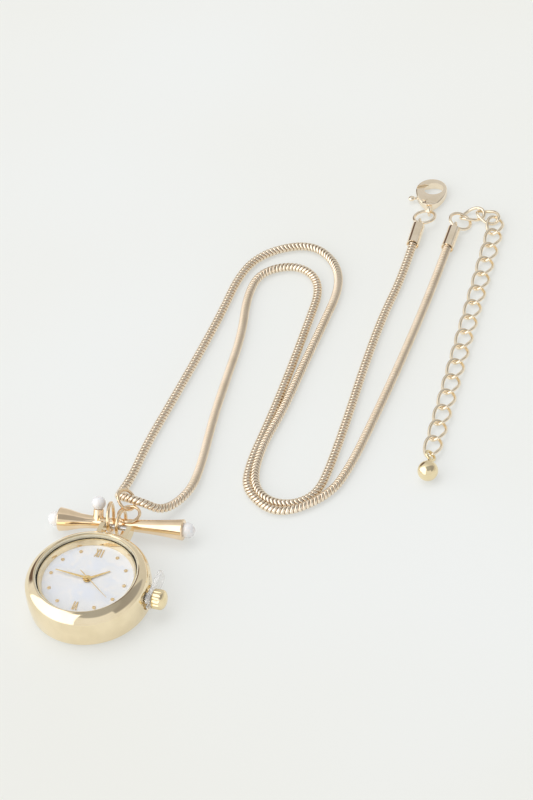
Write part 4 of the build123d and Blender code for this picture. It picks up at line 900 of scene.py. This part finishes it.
def crown_grid():
    """Points of the crown: a profile turned round the stem, from the bore to a round dome.

    Each point's radius is its ring's, less the flute depth times the ring's share of it and times
    1 - |cos(flutes x angle / 2)| ^ power, so that grooves have sharp bottoms and ridges are round.
    """
    rise = np.radians(DOME_RISES)
    place = np.concatenate([[CROWN_BORE_DEPTH, 0, 0, CROWN_BEVEL, CROWN_SHOULDER,
                             CROWN_SIDE - CROWN_RIM, CROWN_SIDE],
                            CROWN_SIDE + CROWN_DOME * np.sin(rise)])
    radius = np.concatenate([[CROWN_BORE, CROWN_BORE, CROWN_FACE_RADIUS, CROWN_BEVEL_RADIUS,
                              CROWN_RADIUS, CROWN_RADIUS, CROWN_RADIUS],
                             CROWN_RADIUS * np.cos(rise)])
    columns = CROWN_FLUTES * FLUTE_COLUMNS
    angle = np.arange(columns) / columns * 2 * pi
    groove = 1 - np.abs(np.cos(CROWN_FLUTES * angle / 2)) ** FLUTE_POWER
    reach = radius[:, None] - FLUTE_DEPTH * np.array(FLUTE_DEPTH_SHARES)[:, None] * groove
    across = np.broadcast_to(CROWN_X + place[:, None], reach.shape)
    return MM * np.stack([across, reach * np.cos(angle), CROWN_Z - reach * np.sin(angle)], axis=-1)


class WATCH_OT_bar(bpy.types.Operator):
    """Finishes and reshapes the bow-tie bar and its end pearls, and finishes the rings"""
    bl_idname = "watch.bar"
    bl_label = "Bar, pearls and rings"

    def execute(self, context):
        colour = context.scene.watch_metals.ring
        dress(["bar"], plated("bar_plating", colour, scale=260.0, polish=0.04, haze=0.05))
        dress(["bar_ring_left", "bar_ring_right", "link_ring", "chain_ring"],
              plated("ring_plating", darker(colour, 0.97), scale=500.0, polish=0.07))
        dress(["left_end_pearl", "right_end_pearl", "boss_pearl"], pearl_material())
        reshaped("bar", "bar_with_pearls", stouter)
        reshaped("left_end_pearl", "bar_with_pearls", stouter)
        reshaped("right_end_pearl", "bar_with_pearls", stouter)
        return {"FINISHED"}


def stouter(points):
    """Brings the bar's left end in, its right end out, and makes the left half stouter.

    Each shift ramps up along the bar. The left half's radius grows by the swell times two ramps,
    one along the bar and one out from its line, so that the waist and the rings' seats stay.
    """
    flat, spin = own_frame(points, BAR_CENTRE, BAR_TURN)
    place = flat[:, 0].copy()
    radius = np.hypot(flat[:, 1], points[:, 2] - BAR_HEIGHT)
    outer = ramp(radius, SWELL_INNER, SWELL_DEPTH) * ramp(-place, SWELL_START, SWELL_RUN)
    swell = 1 + SWELL * outer / np.maximum(radius, LEAST_RADIUS)
    flat[:, 1] *= swell
    points[:, 2] = BAR_HEIGHT + (points[:, 2] - BAR_HEIGHT) * swell
    flat[:, 0] += LEFT_SHIFT * ramp(-place, LEFT_START, LEFT_RUN)
    flat[:, 0] += RIGHT_SHIFT * ramp(place, RIGHT_START, RIGHT_RUN)
    points[:, :2] = flat @ spin.T + BAR_CENTRE


class WATCH_OT_extender(bpy.types.Operator):
    """Finishes the extender's twisted links and its ball"""
    bl_idname = "watch.extender"
    bl_label = "Extender"

    def execute(self, context):
        dress(LINKS, plated("link_plating", (0.98, 0.86, 0.68), scale=450.0, polish=0.09))
        dress(["extender_ball"],
              plated("ball_plating", context.scene.watch_metals.yellow, scale=300.0, polish=0.06))
        return {"FINISHED"}


class WATCH_PT_panel(bpy.types.Panel):
    """Lists the watch's settings and operators in the sidebar"""
    bl_idname = "WATCH_PT_panel"
    bl_label = "Pendant watch"
    bl_space_type = "VIEW_3D"
    bl_region_type = "UI"
    bl_category = "Watch"

    def draw(self, context):
        for name, kind in SETTINGS.items():
            for key in kind.__annotations__:
                self.layout.prop(getattr(context.scene, name), key)
        for operator in STEPS:
            self.layout.operator(operator.bl_idname)


STEPS = (WATCH_OT_stage, WATCH_OT_clasp, WATCH_OT_chain, WATCH_OT_case, WATCH_OT_dial,
         WATCH_OT_movement, WATCH_OT_crown, WATCH_OT_bar, WATCH_OT_extender)
SETTINGS = {"watch_chain": ChainSizes, "watch_metals": MetalColours, "watch_studio": StudioSettings}


def register():
    """Registers the settings, the operators and the panel."""
    for name, kind in SETTINGS.items():
        bpy.utils.register_class(kind)
        setattr(bpy.types.Scene, name, bpy.props.PointerProperty(type=kind))
    for kind in (*STEPS, WATCH_PT_panel):
        bpy.utils.register_class(kind)


def unregister():
    """Removes all that register added."""
    for kind in (WATCH_PT_panel, *reversed(STEPS)):
        bpy.utils.unregister_class(kind)
    for name, kind in SETTINGS.items():
        delattr(bpy.types.Scene, name)
        bpy.utils.unregister_class(kind)


def main():
    """Runs each operator in order."""
    register()
    bpy.ops.watch.stage()
    bpy.ops.watch.clasp()
    bpy.ops.watch.chain()
    bpy.ops.watch.case()
    bpy.ops.watch.dial()
    bpy.ops.watch.movement()
    bpy.ops.watch.crown()
    bpy.ops.watch.bar()
    bpy.ops.watch.extender()


if __name__ == "__main__":
    main()
